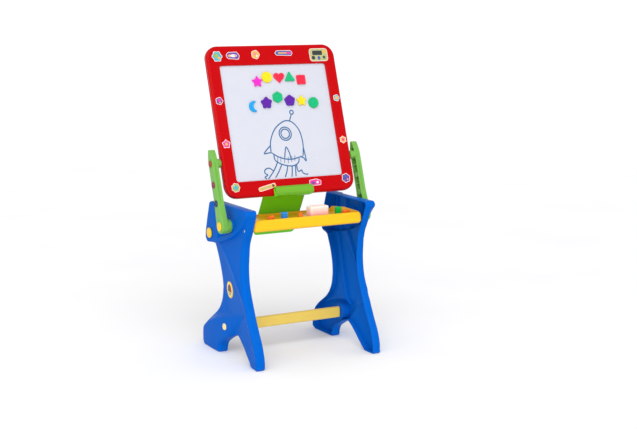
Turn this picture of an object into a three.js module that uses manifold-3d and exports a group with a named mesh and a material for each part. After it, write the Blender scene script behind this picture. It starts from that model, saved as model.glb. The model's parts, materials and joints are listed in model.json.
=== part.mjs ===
// A folding easel and desk for small children, as separate parts.
// Millimetres. X runs to the right, Y to the back and Z up; the floor is Z = 0 and the child sits at -Y.
// The two legs are mirror images, so every side part is built once with side = -1 (left) or +1 (right).

import * as THREE from 'three';
import { mergeVertices } from 'three/addons/utils/BufferGeometryUtils.js';
import Module from 'manifold-3d';

const wasm = await Module();
wasm.setup();

// ---------- driving dimensions ----------

const GAP = 0.3; // between parts that touch
const SIDES = { left: -1, right: 1 };

// legs: X of each surface of a leg, measured out from the middle of the easel
const LEG_INNER = 179;
const LEG_SKIN = 3.5;
const SHANK_OUTER = 202;
const FOOT_OUTER = 210;
const RECESS_FLOOR = 208;
const HUB_PAD = 213;
const HOUSING_OUTER = 219;
const DESK_HEIGHT = 450;

// arms: they swing outside the legs and carry the board
const ARM_INNER = 228;
const ARM_OUTER = 246.5;
const HUB = { y: -38, z: 396 };
const ARM_LENGTH = 183;
const HUB_RADIUS = 21;
const ARM_HALF_WIDTH = 14.5;
const TIP_LENGTH = 44;
const LEAN = THREE.MathUtils.degToRad(18.4); // arms and board lean back by this at rest
const BADGE_HEIGHTS = [183, 121, 67]; // coloured discs, measured up the arm from the hub

// board
const BOARD = { width: 428, height: 453, thick: 22, corner: 38 };
const WINDOW = { width: 352, height: 346, bottom: 47, corner: 8 };
const REBATE = 6.5; // the panels reach this far behind the window's edge
const PANEL_DEPTH = 5; // the panels sit this far behind the frame's face
const PANEL_THICK = 3.5;
const PIVOT_UP_BOARD = 107;
const PIN_RADIUS = 4.5;

// tray between the legs
const TRAY = { front: -121, rear: 56, bottom: 384, floor: 398, lip: 418, rearTop: 405, sideTop: 418, wall: 2.5 };

// stay plate on the rear rod
const ROD = { y: 90, z: 357, radius: 5 };
const STAY = { width: 140, up: 140, down: 28, thick: 4, lean: THREE.MathUtils.degToRad(29.8) };

// screw that holds each end of the tray
const SCREW = { y: -108, z: 391 };

// lower crossbar
const BAR = { y: 17, z: 87, height: 33, depth: 16 };

// ---------- colours and finishes ----------

const COLOURS = {
  red: 0xd6000e,
  blue: 0x0068d7,
  lightGreen: 0x82c846,
  green: 0x4ba000,
  yellow: 0xfcd014,
  paleYellow: 0xf0d05a,
  white: 0xe6e8f0,
  slate: 0x202428,
  steel: 0xb8bcc0,
  magenta: 0xb0286e,
  navy: 0x10306e,
  orange: 0xf07a10,
  pink: 0xf5b9b4,
  purple: 0x7a2f96,
  cream: 0xe4dca0,
};

function plastic(colour, roughness = 0.35) {
  return new THREE.MeshStandardMaterial({ color: colour, roughness, metalness: 0 });
}

function metal() {
  return new THREE.MeshStandardMaterial({ color: COLOURS.steel, roughness: 0.3, metalness: 1 });
}

// ---------- solids ----------

// a closed three.js geometry as a manifold-3d solid
function solid(geometry) {
  const bare = geometry.clone();
  bare.deleteAttribute('normal');
  bare.deleteAttribute('uv');
  const merged = mergeVertices(bare, 1e-4);
  return new wasm.Manifold(new wasm.Mesh({
    numProp: 3,
    vertProperties: new Float32Array(merged.attributes.position.array),
    triVerts: new Uint32Array(merged.index.array),
  }));
}

function geometryOf(shape) {
  const mesh = shape.getMesh();
  const geometry = new THREE.BufferGeometry();
  geometry.setAttribute('position', new THREE.BufferAttribute(mesh.vertProperties, 3));
  geometry.setIndex(new THREE.BufferAttribute(mesh.triVerts, 1));
  geometry.computeVertexNormals();
  return geometry;
}

function extruded(shape, depth, segments = 6, bevel = 0) {
  return new THREE.ExtrudeGeometry(shape, {
    depth: depth - 2 * bevel,
    curveSegments: segments,
    bevelEnabled: bevel > 0,
    bevelThickness: bevel,
    bevelSize: bevel,
    bevelOffset: -bevel,
    bevelSegments: 1,
  }).translate(0, 0, bevel);
}

const SIDEWAYS = new THREE.Matrix4().makeBasis(
  new THREE.Vector3(0, 1, 0),
  new THREE.Vector3(0, 0, 1),
  new THREE.Vector3(1, 0, 0),
);

// a (y, z) outline extruded along X between two distances from the middle, on the given side
function sidePlate(shape, side, inner, outer, segments = 4, bevel = 0) {
  const start = Math.min(side * inner, side * outer);
  return extruded(shape, outer - inner, segments, bevel).applyMatrix4(SIDEWAYS).translate(start, 0, 0);
}

function circle(y, z, radius) {
  const shape = new THREE.Shape();
  shape.absarc(y, z, radius, 0, 2 * Math.PI);
  return shape;
}

// a round bar along X
function sideRound(side, inner, outer, y, z, radius, segments = 6) {
  return sidePlate(circle(y, z, radius), side, inner, outer, segments);
}

function polygon(points) {
  return new THREE.Shape(points.map(([a, b]) => new THREE.Vector2(a, b)));
}

function box(x0, x1, y0, y1, z0, z1) {
  return new THREE.BoxGeometry(x1 - x0, y1 - y0, z1 - z0)
    .translate((x0 + x1) / 2, (y0 + y1) / 2, (z0 + z1) / 2);
}

function roundedRect(width, height, radius, bottom = 0, path = new THREE.Shape()) {
  const x = width / 2 - radius;
  const low = bottom + radius;
  const high = bottom + height - radius;
  path.absarc(x, low, radius, -Math.PI / 2, 0);
  path.absarc(x, high, radius, 0, Math.PI / 2);
  path.absarc(-x, high, radius, Math.PI / 2, Math.PI);
  path.absarc(-x, low, radius, Math.PI, 1.5 * Math.PI);
  path.closePath();
  return path;
}

// the outline moved inwards; points that would land nearer the outline than that are dropped
function inset(outline, distance) {
  const moved = outline.map((point, i) => {
    const before = outline[(i + outline.length - 1) % outline.length];
    const after = outline[(i + 1) % outline.length];
    const along = after.clone().sub(before).normalize();
    return new THREE.Vector2(point.x - along.y * distance, point.y + along.x * distance);
  });
  return moved.filter((point) => outline.every((other, i) => {
    const next = outline[(i + 1) % outline.length];
    const closest = new THREE.Line3(
      new THREE.Vector3(other.x, other.y, 0),
      new THREE.Vector3(next.x, next.y, 0),
    ).closestPointToPoint(new THREE.Vector3(point.x, point.y, 0), true, new THREE.Vector3());
    return Math.hypot(closest.x - point.x, closest.y - point.y) > distance * 0.93;
  }));
}

function vectors(points) {
  return points.map(([y, z]) => new THREE.Vector2(y, z));
}

// ---------- legs ----------

// front edge from the housing's top corner down to the toe
const FRONT_EDGE = [
  [-140, 437], [-133, 421], [-117, 385], [-99, 349], [-93, 310], [-90, 273],
  [-96, 225], [-116, 174], [-143, 118], [-170, 71], [-184, 31], [-185, 4],
];
// the arch between the two feet, from the toe's heel to the rear foot
const ARCH = [[-132, 2], [-112, 16], [-73, 48], [-41, 68], [-15, 64], [22, 47], [50, 28], [59, 0]];
// rear edge from the rear foot's heel up to the housing
const REAR_EDGE = [
  [185, 8], [177, 55], [150, 86], [94, 124], [67, 158], [58, 194], [59, 230], [71, 275], [91, 318],
];
// lower lip of the housing, from the rear to the front edge
const LIP = [[101, 325], [54, 332], [0, 344], [-54, 362], [-99, 389], [-133, 421]];
const HOUSING_REAR = [[121, 329], [127, 349], [115, 396], [97, 450]];
const HOUSING_TOP_FRONT = [-138, 450];

function legOutline() {
  const shape = new THREE.Shape();
  shape.moveTo(...HOUSING_TOP_FRONT);
  shape.splineThru(vectors(FRONT_EDGE));
  shape.lineTo(-180, 0);
  shape.lineTo(-138, 0);
  shape.splineThru(vectors(ARCH));
  shape.lineTo(168, 0);
  shape.splineThru(vectors(REAR_EDGE));
  shape.lineTo(103, 323);
  shape.splineThru(vectors(HOUSING_REAR));
  return shape;
}

function housingOutline() {
  const shape = new THREE.Shape();
  shape.moveTo(...HOUSING_TOP_FRONT);
  shape.lineTo(-140, 437);
  shape.lineTo(-133, 421);
  shape.splineThru(vectors(LIP.slice(0, -1).reverse()));
  shape.splineThru(vectors(HOUSING_REAR));
  return shape;
}

// the hollow in which the arm's hub sits, open at the top
function recessOutline() {
  const shape = new THREE.Shape();
  shape.moveTo(-116, DESK_HEIGHT + 1);
  shape.lineTo(-112, 424);
  shape.splineThru(vectors([[-80, 396], [-38, 370], [0, 357], [30, 350], [52, 358], [60, 385]]));
  shape.lineTo(56, DESK_HEIGHT + 1);
  return shape;
}

// the parts of the two feet that stand out beyond the shank
function footOutline(points) {
  const shape = new THREE.Shape();
  shape.moveTo(...points[0]);
  shape.splineThru(vectors(points.slice(1)));
  return shape;
}

const TOE = [[-185, 4], [-180, 0], [-138, 0], [-112, 16], [-104, 60], [-122, 118], [-143, 118], [-170, 71]];
const HEEL = [[59, 0], [168, 0], [185, 8], [177, 55], [150, 86], [94, 124], [40, 120], [12, 84], [50, 28]];

function ribs(side) {
  const depth = 9;
  const floor = SHANK_OUTER - LEG_SKIN;
  const strokes = [
    [[58, 352], [-24, 118]],
    [[0, 352], [-112, 160]],
    [[10, 448], [10, 362]],
    [[-80, 448], [-80, 376]],
    [[80, 448], [72, 345]],
    [[20, 110], [150, 50]],
    [[-112, 160], [-165, 20]],
  ];
  return strokes.map(([[y0, z0], [y1, z1]]) => {
    const length = Math.hypot(y1 - y0, z1 - z0);
    const rib = new THREE.BoxGeometry(depth, length, 3);
    rib.rotateX(Math.atan2(z1 - z0, y1 - y0));
    rib.translate(side * (floor - depth / 2), (y0 + y1) / 2, (z0 + z1) / 2);
    return solid(rib);
  });
}

function buildLeg(side) {
  const outline = legOutline();
  const points = outline.getPoints(2);
  if (THREE.ShapeUtils.isClockWise(points)) points.reverse();
  const hollow = new THREE.Shape(inset(points, LEG_SKIN));
  const body = solid(sidePlate(outline, side, LEG_INNER, SHANK_OUTER, 2));
  const inside = solid(sidePlate(hollow, side, LEG_INNER - 1, SHANK_OUTER - LEG_SKIN));
  let leg = body.add(solid(sidePlate(housingOutline(), side, LEG_INNER, HOUSING_OUTER, 2)));
  leg = leg.add(solid(sidePlate(polygon(TOE), side, LEG_INNER, FOOT_OUTER)));
  leg = leg.add(solid(sidePlate(footOutline(HEEL), side, LEG_INNER, FOOT_OUTER, 2)));
  leg = leg.subtract(inside);
  leg = leg.subtract(solid(sidePlate(recessOutline(), side, RECESS_FLOOR, HOUSING_OUTER + 2, 2)));
  for (const rib of ribs(side)) leg = leg.add(rib.intersect(body));
  const stops = [
    sideRound(side, SHANK_OUTER - 10, HUB_PAD, HUB.y, HUB.z, HUB_RADIUS + 2, 8),
    sideRound(side, LEG_INNER, SHANK_OUTER, BAR.y, BAR.z, 24),
    sideRound(side, LEG_INNER, SHANK_OUTER, ROD.y, ROD.z, 10),
  ];
  for (const boss of stops) leg = leg.add(solid(boss));
  const holes = [
    sideRound(side, LEG_INNER - 1, HOUSING_OUTER + 1, HUB.y, HUB.z, 5 + GAP),
    sideRound(side, LEG_INNER - 1, HOUSING_OUTER + 1, ROD.y, ROD.z, ROD.radius + GAP),
    sideRound(side, LEG_INNER - 1, FOOT_OUTER + 1, BAR.y, BAR.z, 6 + GAP),
    sideRound(side, LEG_INNER - 1, HOUSING_OUTER + 1, SCREW.y, SCREW.z, 2 + GAP, 4),
  ];
  for (const hole of holes) leg = leg.subtract(solid(hole));
  const ground = box(-300, 300, -300, 300, -20, 0);
  return geometryOf(leg.subtract(solid(ground)));
}

// ---------- arms ----------

// arm outline in its own frame: across the arm, and up it from the hub
function armOutline(margin = 0) {
  const hub = HUB_RADIUS - margin;
  const half = ARM_HALF_WIDTH - margin;
  const shape = new THREE.Shape();
  shape.absarc(0, 0, hub, Math.PI, 2 * Math.PI);
  shape.splineThru(vectors([[half + 4, 30], [half, 70], [half, 110]]));
  shape.lineTo(half, ARM_LENGTH);
  shape.splineThru(vectors([
    [half - 2.5, ARM_LENGTH + 18],
    [4, ARM_LENGTH + TIP_LENGTH - 3 - margin],
    [-5, ARM_LENGTH + TIP_LENGTH - 3 - margin],
    [-half + 2, ARM_LENGTH + 14],
    [-half, ARM_LENGTH - 6],
  ]));
  shape.lineTo(-half, 110);
  shape.splineThru(vectors([[-half, 70], [-half - 4, 30], [-hub, 0]]));
  return shape;
}

function buildArm(side) {
  const wall = 3;
  let arm = solid(sidePlate(armOutline(), side, ARM_INNER, ARM_OUTER, 2, 2));
  arm = arm.subtract(solid(sidePlate(armOutline(wall), side, ARM_INNER - 1, ARM_OUTER - 4, 2)));
  const middle = (ARM_INNER + ARM_OUTER) / 2;
  const groove = box(-2, 2, -ARM_HALF_WIDTH - 1, -ARM_HALF_WIDTH + 1.5, 75, ARM_LENGTH)
    .translate(side * middle, 0, 0);
  arm = arm.subtract(solid(groove));
  for (const up of BADGE_HEIGHTS) {
    arm = arm.add(solid(sideRound(side, ARM_INNER, ARM_OUTER - 3, 0, up, 9)));
  }
  for (const up of [25, 45, 94, 152]) {
    arm = arm.add(solid(box(-8, 8, -ARM_HALF_WIDTH + 1, ARM_HALF_WIDTH - 1, up - 1.5, up + 1.5)
      .translate(side * (ARM_OUTER - 11), 0, 0)));
  }
  arm = arm.add(solid(sideRound(side, HUB_PAD + GAP, ARM_OUTER - 3, 0, 0, HUB_RADIUS - 1, 8)));
  const boardSide = BOARD.width / 2 + 1;
  arm = arm.add(solid(sideRound(side, boardSide, ARM_OUTER - 3, 0, ARM_LENGTH, 13, 8)));
  arm = arm.subtract(solid(sideRound(side, HUB_PAD - 1, ARM_OUTER + 1, 0, 0, 5 + GAP)));
  const running = side > 0 ? 2 : GAP; // the right-hand board pin has running clearance
  arm = arm.subtract(solid(sideRound(side, boardSide - 1, ARM_OUTER - 4, 0, ARM_LENGTH, PIN_RADIUS + running)));
  return geometryOf(arm);
}

// a round cap on the outer face of an arm, with slots across it if wanted
function buildCap(side, inner, outer, y, z, radius, slots = false) {
  let cap = solid(sidePlate(circle(y, z, radius), side, inner, outer, 6, 0.6));
  if (slots) {
    for (const turn of [0, Math.PI / 2]) {
      const slot = new THREE.BoxGeometry(2, radius * 1.1, 2.4).rotateX(turn);
      cap = cap.subtract(solid(slot.translate(side * outer, y, z)));
    }
  }
  return geometryOf(cap);
}

// a pin along X with a head at its outer end
function buildPin(side, inner, outer, y, z, radius, head = 0, headLength = 0, segments = 6) {
  let pin = solid(sideRound(side, inner, outer, y, z, radius, segments));
  if (head > 0) pin = pin.add(solid(sideRound(side, outer - headLength, outer, y, z, head, segments)));
  return geometryOf(pin);
}

// ---------- board, in its own frame: x across, y up the board, z out of its face ----------

function ring(outerInset, windowOutset, n0, n1, segments = 3) {
  const shape = roundedRect(
    BOARD.width - 2 * outerInset, BOARD.height - 2 * outerInset, BOARD.corner - outerInset, outerInset,
  );
  shape.holes.push(roundedRect(
    WINDOW.width + 2 * windowOutset, WINDOW.height + 2 * windowOutset, WINDOW.corner,
    WINDOW.bottom - windowOutset, new THREE.Path(),
  ));
  return solid(extruded(shape, n1 - n0, segments).translate(0, 0, n0));
}

// one half of the frame; front = +1 is the writing side, -1 the chalk side
function buildFrameHalf(front) {
  const skin = 3;
  const middle = -BOARD.thick / 2;
  const face = front > 0 ? 0 : -BOARD.thick;
  const split = middle + front * GAP / 2;
  const span = (a, b) => [Math.min(a, b), Math.max(a, b)];
  let half = ring(0, 0, ...span(split, face - front * 2));
  half = half.add(ring(2, 0, ...span(split, face)));
  const seat = roundedRect(
    WINDOW.width + 2 * REBATE, WINDOW.height + 2 * REBATE, WINDOW.corner, WINDOW.bottom - REBATE,
  );
  const [seatLow, seatHigh] = span(middle - front, face - front * (PANEL_DEPTH - GAP));
  half = half.subtract(solid(extruded(seat, seatHigh - seatLow, 3).translate(0, 0, seatLow)));
  half = half.subtract(ring(skin, REBATE + skin, ...span(middle - front, face - front * skin)));
  for (const side of Object.values(SIDES)) {
    const [low, high] = span(split, face - front);
    const block = box(-14, 14, -14, 14, low, high)
      .translate(side * (BOARD.width / 2 - 15), PIVOT_UP_BOARD, 0);
    half = half.add(solid(block));
    const bore = sideRound(side, BOARD.width / 2 - 25, BOARD.width / 2 + 1, PIVOT_UP_BOARD, middle, PIN_RADIUS + GAP);
    half = half.subtract(solid(bore));
  }
  if (front < 0) {
    for (const [x, y] of frameScrewPlaces()) {
      half = half.add(solid(roundPost(x, y, 6, -BOARD.thick + 1, split)));
      half = half.subtract(solid(roundPost(x, y, 4 + GAP, -BOARD.thick - 1, -BOARD.thick + 3)));
      half = half.subtract(solid(roundPost(x, y, 1.6 + GAP, -BOARD.thick, middle + 1)));
    }
  }
  return geometryOf(half);
}

// a round post along the board's normal
function roundPost(x, y, radius, n0, n1, segments = 3) {
  return extruded(circle(x, y, radius), n1 - n0, segments).translate(0, 0, n0);
}

function frameScrewPlaces() {
  const x = BOARD.width / 2 - 19;
  return [[-x, 35], [x, 35], [-x, 250], [x, 250], [-x, BOARD.height - 30], [x, BOARD.height - 30]];
}

function buildFrameScrew([x, y]) {
  const head = solid(roundPost(x, y, 4, -BOARD.thick + 0.6, -BOARD.thick + 3 - GAP));
  return geometryOf(head.add(solid(roundPost(x, y, 1.6, -BOARD.thick + 1, -BOARD.thick + 10))));
}

function buildPanel(front) {
  const size = REBATE - GAP;
  const shape = roundedRect(
    WINDOW.width + 2 * size, WINDOW.height + 2 * size, WINDOW.corner, WINDOW.bottom - size,
  );
  const low = front > 0 ? -PANEL_DEPTH - PANEL_THICK : -BOARD.thick + PANEL_DEPTH;
  return extruded(shape, PANEL_THICK, 3).translate(0, 0, low);
}

// clip on the board's lower band: a base plate round the edge and a sprung jaw with a rolled front
const CLIP = { width: 126, hingeUp: 7, hingeOut: 7.5, rollTop: 25 };

function alongBoard(shape, width, segments = 3) {
  // a (distance out of the face, distance up the board) outline, extruded across the board
  return extruded(shape, width, segments).applyMatrix4(new THREE.Matrix4().makeBasis(
    new THREE.Vector3(0, 0, 1), new THREE.Vector3(0, 1, 0), new THREE.Vector3(-1, 0, 0),
  )).translate(width / 2, 0, 0);
}

function buildClipBase() {
  const shape = new THREE.Shape();
  const low = -3.2;
  shape.moveTo(-BOARD.thick + 4, low);
  shape.lineTo(2.6, low);
  shape.lineTo(2.6, CLIP.hingeUp + 12);
  shape.lineTo(GAP, CLIP.hingeUp + 12);
  shape.lineTo(GAP, -GAP);
  shape.lineTo(-BOARD.thick + 4, -GAP);
  let base = solid(alongBoard(shape, CLIP.width));
  for (const x of [-CLIP.width / 2 + 10, CLIP.width / 2 - 10]) {
    const lug = roundBarAcross(x - 4, x + 4, 4);
    const foot = box(x - 4, x + 4, CLIP.hingeUp - 4, CLIP.hingeUp + 4, 1, CLIP.hingeOut);
    base = base.add(solid(lug)).add(solid(foot));
  }
  return geometryOf(base.subtract(solid(roundBarAcross(-CLIP.width / 2 - 1, CLIP.width / 2 + 1, 1.8))));
}

// a round bar across the board on the clip's hinge line
function roundBarAcross(x0, x1, radius) {
  const bar = alongBoard(circle(CLIP.hingeOut, CLIP.hingeUp, radius), x1 - x0, 5);
  return bar.translate((x0 + x1) / 2, 0, 0);
}

function buildClipJaw() {
  const shape = new THREE.Shape();
  shape.moveTo(11.6, -2);
  shape.splineThru(vectors([[14.6, 4], [15, 12], [12.2, 20], [6, CLIP.rollTop]]));
  shape.lineTo(3.1, CLIP.rollTop - 0.6);
  shape.lineTo(3.1, CLIP.rollTop - 3);
  shape.splineThru(vectors([[8, 18.6], [11.6, 11.4], [11.9, 5], [9.4, -0.6]]));
  let jaw = solid(alongBoard(shape, CLIP.width - 1));
  for (const x of [-CLIP.width / 2 + 20, CLIP.width / 2 - 20]) {
    const lug = roundBarAcross(x - 4, x + 4, 4);
    const web = box(x - 4, x + 4, CLIP.hingeUp - 3, CLIP.hingeUp + 3, CLIP.hingeOut, 13);
    jaw = jaw.add(solid(lug)).add(solid(web));
  }
  return geometryOf(jaw.subtract(solid(roundBarAcross(-CLIP.width / 2 - 1, CLIP.width / 2 + 1, 1.8))));
}

function buildClipSpring() {
  const profile = new THREE.Shape();
  profile.absarc(CLIP.hingeOut, CLIP.hingeUp, 3.4, 0, 2 * Math.PI);
  const hole = new THREE.Path();
  hole.absarc(CLIP.hingeOut, CLIP.hingeUp, 2, 0, 2 * Math.PI);
  profile.holes.push(hole);
  return alongBoard(profile, 24, 6);
}

// ---------- magnets ----------

const MAGNET = { size: 37, thick: 6 };

function star(radius) {
  const points = [];
  for (let i = 0; i < 10; i += 1) {
    const reach = i % 2 === 0 ? radius : radius * 0.52;
    const angle = Math.PI / 2 + i * Math.PI / 5;
    points.push([reach * Math.cos(angle), reach * Math.sin(angle)]);
  }
  return polygon(points);
}

function regular(sides, radius, turn = Math.PI / 2) {
  const points = [];
  for (let i = 0; i < sides; i += 1) {
    const angle = turn + i * 2 * Math.PI / sides;
    points.push([radius * Math.cos(angle), radius * Math.sin(angle)]);
  }
  return polygon(points);
}

function heart(radius) {
  const lobe = radius / 2;
  const shape = new THREE.Shape();
  shape.absarc(lobe * 0.95, lobe * 0.7, lobe, -0.25 * Math.PI, 0.85 * Math.PI);
  shape.absarc(-lobe * 0.95, lobe * 0.7, lobe, 0.15 * Math.PI, 1.25 * Math.PI);
  shape.lineTo(0, -radius * 0.95);
  return shape;
}

function moon(radius) {
  const shape = new THREE.Shape();
  shape.absarc(0, 0, radius, 0.3 * Math.PI, 1.7 * Math.PI);
  shape.absarc(radius * 0.62, 0, radius * 0.82, 1.42 * Math.PI, 0.58 * Math.PI, true);
  return shape;
}

function flower(radius) {
  const points = [];
  for (let i = 0; i < 25; i += 1) {
    const angle = i * 2 * Math.PI / 25;
    const reach = radius * (0.78 + 0.2 * Math.cos(5 * angle));
    points.push([reach * Math.cos(angle), reach * Math.sin(angle)]);
  }
  return polygon(points);
}

const HALF = MAGNET.size / 2;

// name, colour, shape, place across and up the board
const MAGNETS = [
  ['magnet_star_magenta', COLOURS.magenta, star(HALF), -61, 342],
  ['magnet_disc_yellow', COLOURS.yellow, circle(0, 0, HALF * 0.9), -28, 355],
  ['magnet_heart_red', COLOURS.red, heart(HALF), 13, 352],
  ['magnet_triangle_green', COLOURS.green, regular(3, HALF * 1.05), 48, 351],
  ['magnet_square_red', COLOURS.red, regular(4, HALF * 1.05, Math.PI / 4), 86, 344],
  ['magnet_moon_blue', COLOURS.blue, moon(HALF * 0.9), -83, 268],
  ['magnet_flower_purple', COLOURS.purple, flower(HALF), -41, 277],
  ['magnet_hexagon_green', COLOURS.green, regular(6, HALF * 0.95), -2, 293],
  ['magnet_pentagon_purple', COLOURS.purple, regular(5, HALF), 37, 281],
  ['magnet_star_yellow', COLOURS.yellow, star(HALF), 76, 279],
  ['magnet_disc_green', COLOURS.green, circle(0, 0, HALF * 0.9), 116, 272],
];

// ---------- tray and what lies in it ----------

function buildTray() {
  const end = LEG_INNER - GAP;
  const { front, rear, bottom, floor, lip, rearTop, sideTop, wall } = TRAY;
  const profile = new THREE.Shape();
  profile.moveTo(front + 6, bottom);
  profile.splineThru(vectors([[front + 1.5, bottom + 4], [front, bottom + 14], [front, lip - 9]]));
  profile.splineThru(vectors([[front + 1.2, lip - 3], [front + 5, lip]]));
  profile.lineTo(front + 10, lip - 1);
  profile.lineTo(front + 14, lip - 6);
  profile.lineTo(rear - 3, rearTop);
  profile.lineTo(rear, rearTop);
  profile.lineTo(rear, bottom + 8);
  profile.lineTo(rear - 8, bottom);
  const sideProfile = polygon([
    [front + 6, bottom], [front, bottom + 14], [front, lip - 9], [front + 5, lip],
    [front + 14, sideTop + 3], [rear, sideTop - 4], [rear, bottom + 8], [rear - 8, bottom],
  ]);
  let tray = solid(sidePlate(profile, 1, -end, end, 3));
  for (const side of Object.values(SIDES)) {
    tray = tray.add(solid(sidePlate(sideProfile, side, end - wall, end)));
  }
  const above = polygon([
    [front + 13, lip + 9], [front + 12, floor + 6], [front + 17, floor],
    [rear - 7, floor], [rear - wall, floor + 4], [rear - wall, lip + 9],
  ]);
  const below = polygon([
    [front + 9, bottom - 1], [front + wall + 1, bottom + 8], [front + wall + 4, floor - wall],
    [rear - wall, floor - wall], [rear - wall, bottom + 9], [rear - 11, bottom - 1],
  ]);
  for (const cavity of [above, below]) {
    tray = tray.subtract(solid(sidePlate(cavity, 1, -end + wall, end - wall)));
  }
  for (const side of Object.values(SIDES)) {
    const pad = sidePlate(circle(SCREW.y, SCREW.z, 5), side, end - 14, end, 4);
    tray = tray.add(solid(pad)).subtract(
      solid(sideRound(side, end - 13, end + 1, SCREW.y, SCREW.z, 2 + GAP, 6)),
    );
  }
  return geometryOf(tray);
}

// three sticks of chalk in a heap: two side by side and one on top
function chalkHeap(x, y, length, radius, turn) {
  const apart = radius * 0.96;
  let heap = null;
  for (const [across, up] of [[-apart, 0], [apart, 0], [0, apart * 1.72]]) {
    const stick = new THREE.CylinderGeometry(radius, radius, length, 10);
    stick.rotateZ(Math.PI / 2).translate(0, across, up + radius);
    heap = heap ? heap.add(solid(stick)) : solid(stick);
  }
  return geometryOf(heap).rotateZ(turn).translate(x, y, TRAY.floor + GAP);
}

function block(x, y, width, depth, height, turn) {
  const shape = roundedRect(width, depth, 2);
  const brick = extruded(shape, height, 1, 1).translate(0, -depth / 2, 0);
  return brick.rotateZ(turn).translate(x, y, TRAY.floor + GAP);
}

// ---------- assembly ----------

const easel = new THREE.Group();

function put(parent, name, geometry, material) {
  const mesh = new THREE.Mesh(geometry, material);
  mesh.name = name;
  parent.add(mesh);
  return mesh;
}

function addLegs() {
  for (const [name, side] of Object.entries(SIDES)) {
    put(easel, `${name}_leg`, buildLeg(side), plastic(COLOURS.blue));
    put(easel, `${name}_badge`, sidePlate(
      ovalOutline(-4, 201, 22, 25), side, SHANK_OUTER + GAP, SHANK_OUTER + 2.5, 10, 0.6,
    ), plastic(COLOURS.yellow));
    put(easel, `${name}_rod_cap`, buildCap(
      side, HOUSING_OUTER + GAP, HOUSING_OUTER + 4, ROD.y, ROD.z, 15,
    ), plastic(COLOURS.yellow));
    put(easel, `${name}_bar_plug`, buildCap(
      side, FOOT_OUTER + GAP, FOOT_OUTER + 2.5, BAR.y, BAR.z, 10,
    ), plastic(COLOURS.cream));
    put(easel, `${name}_tray_screw`, buildPin(
      side, LEG_INNER - 12, HOUSING_OUTER + 2, SCREW.y, SCREW.z, 2, 4.5, 1.6, 4,
    ), metal());
  }
}

function ovalOutline(y, z, halfWidth, halfHeight) {
  const shape = new THREE.Shape();
  shape.absellipse(y, z, halfWidth, halfHeight, 0, 2 * Math.PI);
  return shape;
}

function addArms() {
  for (const [name, side] of Object.entries(SIDES)) {
    const arm = new THREE.Group();
    arm.position.set(0, HUB.y, HUB.z);
    arm.rotation.x = -LEAN;
    easel.add(arm);
    put(arm, `${name}_arm`, buildArm(side), plastic(COLOURS.lightGreen));
    const discs = ['red', 'magenta', 'blue'];
    const colours = [COLOURS.red, COLOURS.magenta, COLOURS.navy];
    discs.forEach((disc, i) => {
      const cap = buildCap(side, ARM_OUTER + GAP, ARM_OUTER + 2, 0, BADGE_HEIGHTS[i], 10);
      put(arm, `${name}_${disc}_disc`, cap, plastic(colours[i]));
    });
    const hubCap = buildCap(side, ARM_OUTER + GAP, ARM_OUTER + 3, 0, 0, 13, true);
    put(arm, `${name}_hub_cap`, hubCap, plastic(COLOURS.yellow));
    put(easel, `${name}_hub_bolt`, buildPin(
      side, LEG_INNER + 6, ARM_OUTER - 0.5, HUB.y, HUB.z, 5,
    ), metal());
  }
}

function addBoard() {
  const board = new THREE.Group();
  const pivot = new THREE.Vector2(
    HUB.y + ARM_LENGTH * Math.sin(LEAN),
    HUB.z + ARM_LENGTH * Math.cos(LEAN),
  );
  const depth = BOARD.thick / 2;
  board.position.set(
    0,
    pivot.x - PIVOT_UP_BOARD * Math.sin(LEAN) - depth * Math.cos(LEAN),
    pivot.y - PIVOT_UP_BOARD * Math.cos(LEAN) + depth * Math.sin(LEAN),
  );
  board.rotation.x = Math.PI / 2 - LEAN;
  easel.add(board);
  put(board, 'board_frame_front', buildFrameHalf(1), plastic(COLOURS.red, 0.3));
  put(board, 'board_frame_back', buildFrameHalf(-1), plastic(COLOURS.red, 0.3));
  put(board, 'whiteboard_panel', buildPanel(1), plastic(COLOURS.white, 0.2));
  put(board, 'chalkboard_panel', buildPanel(-1), plastic(COLOURS.slate, 0.8));
  frameScrewPlaces().forEach((place, i) => put(board, `frame_screw_${i + 1}`, buildFrameScrew(place), metal()));
  for (const [name, side] of Object.entries(SIDES)) {
    const pin = buildPin(
      side, BOARD.width / 2 - 22, ARM_OUTER - 8, PIVOT_UP_BOARD, -BOARD.thick / 2, PIN_RADIUS,
    );
    put(board, `${name}_board_pin`, pin, metal());
  }
  put(board, 'clip_base', buildClipBase(), plastic(COLOURS.green));
  put(board, 'clip_jaw', buildClipJaw(), plastic(COLOURS.lightGreen));
  put(board, 'clip_pin', roundBarAcross(-CLIP.width / 2 + 2, CLIP.width / 2 - 2, 1.5), metal());
  put(board, 'clip_spring', buildClipSpring(), metal());
  for (const [name, colour, shape, x, y] of MAGNETS) {
    const magnet = put(board, name, extruded(shape, MAGNET.thick, 5, 0.8), plastic(colour, 0.3));
    magnet.position.set(x, y, -PANEL_DEPTH + GAP);
  }
}

function addTray() {
  put(easel, 'tray', buildTray(), plastic(COLOURS.yellow, 0.3));
  put(easel, 'chalk_orange_left', chalkHeap(-104, -80, 24, 6.6, 0.5), plastic(COLOURS.orange, 0.8));
  put(easel, 'brick_blue', block(-58, -76, 17, 13, 30, 0.1), plastic(COLOURS.blue));
  put(easel, 'chalk_orange_middle', chalkHeap(-6, -78, 24, 6.6, 1.1), plastic(COLOURS.orange, 0.8));
  put(easel, 'eraser', block(56, -68, 62, 32, 40, 0.04), plastic(COLOURS.pink, 0.4));
  put(easel, 'brick_green', block(128, -64, 17, 15, 30, -0.1), plastic(COLOURS.green));
  put(easel, 'chalk_orange_right', chalkHeap(156, -58, 28, 5, 0.15), plastic(COLOURS.orange, 0.8));
}

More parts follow.
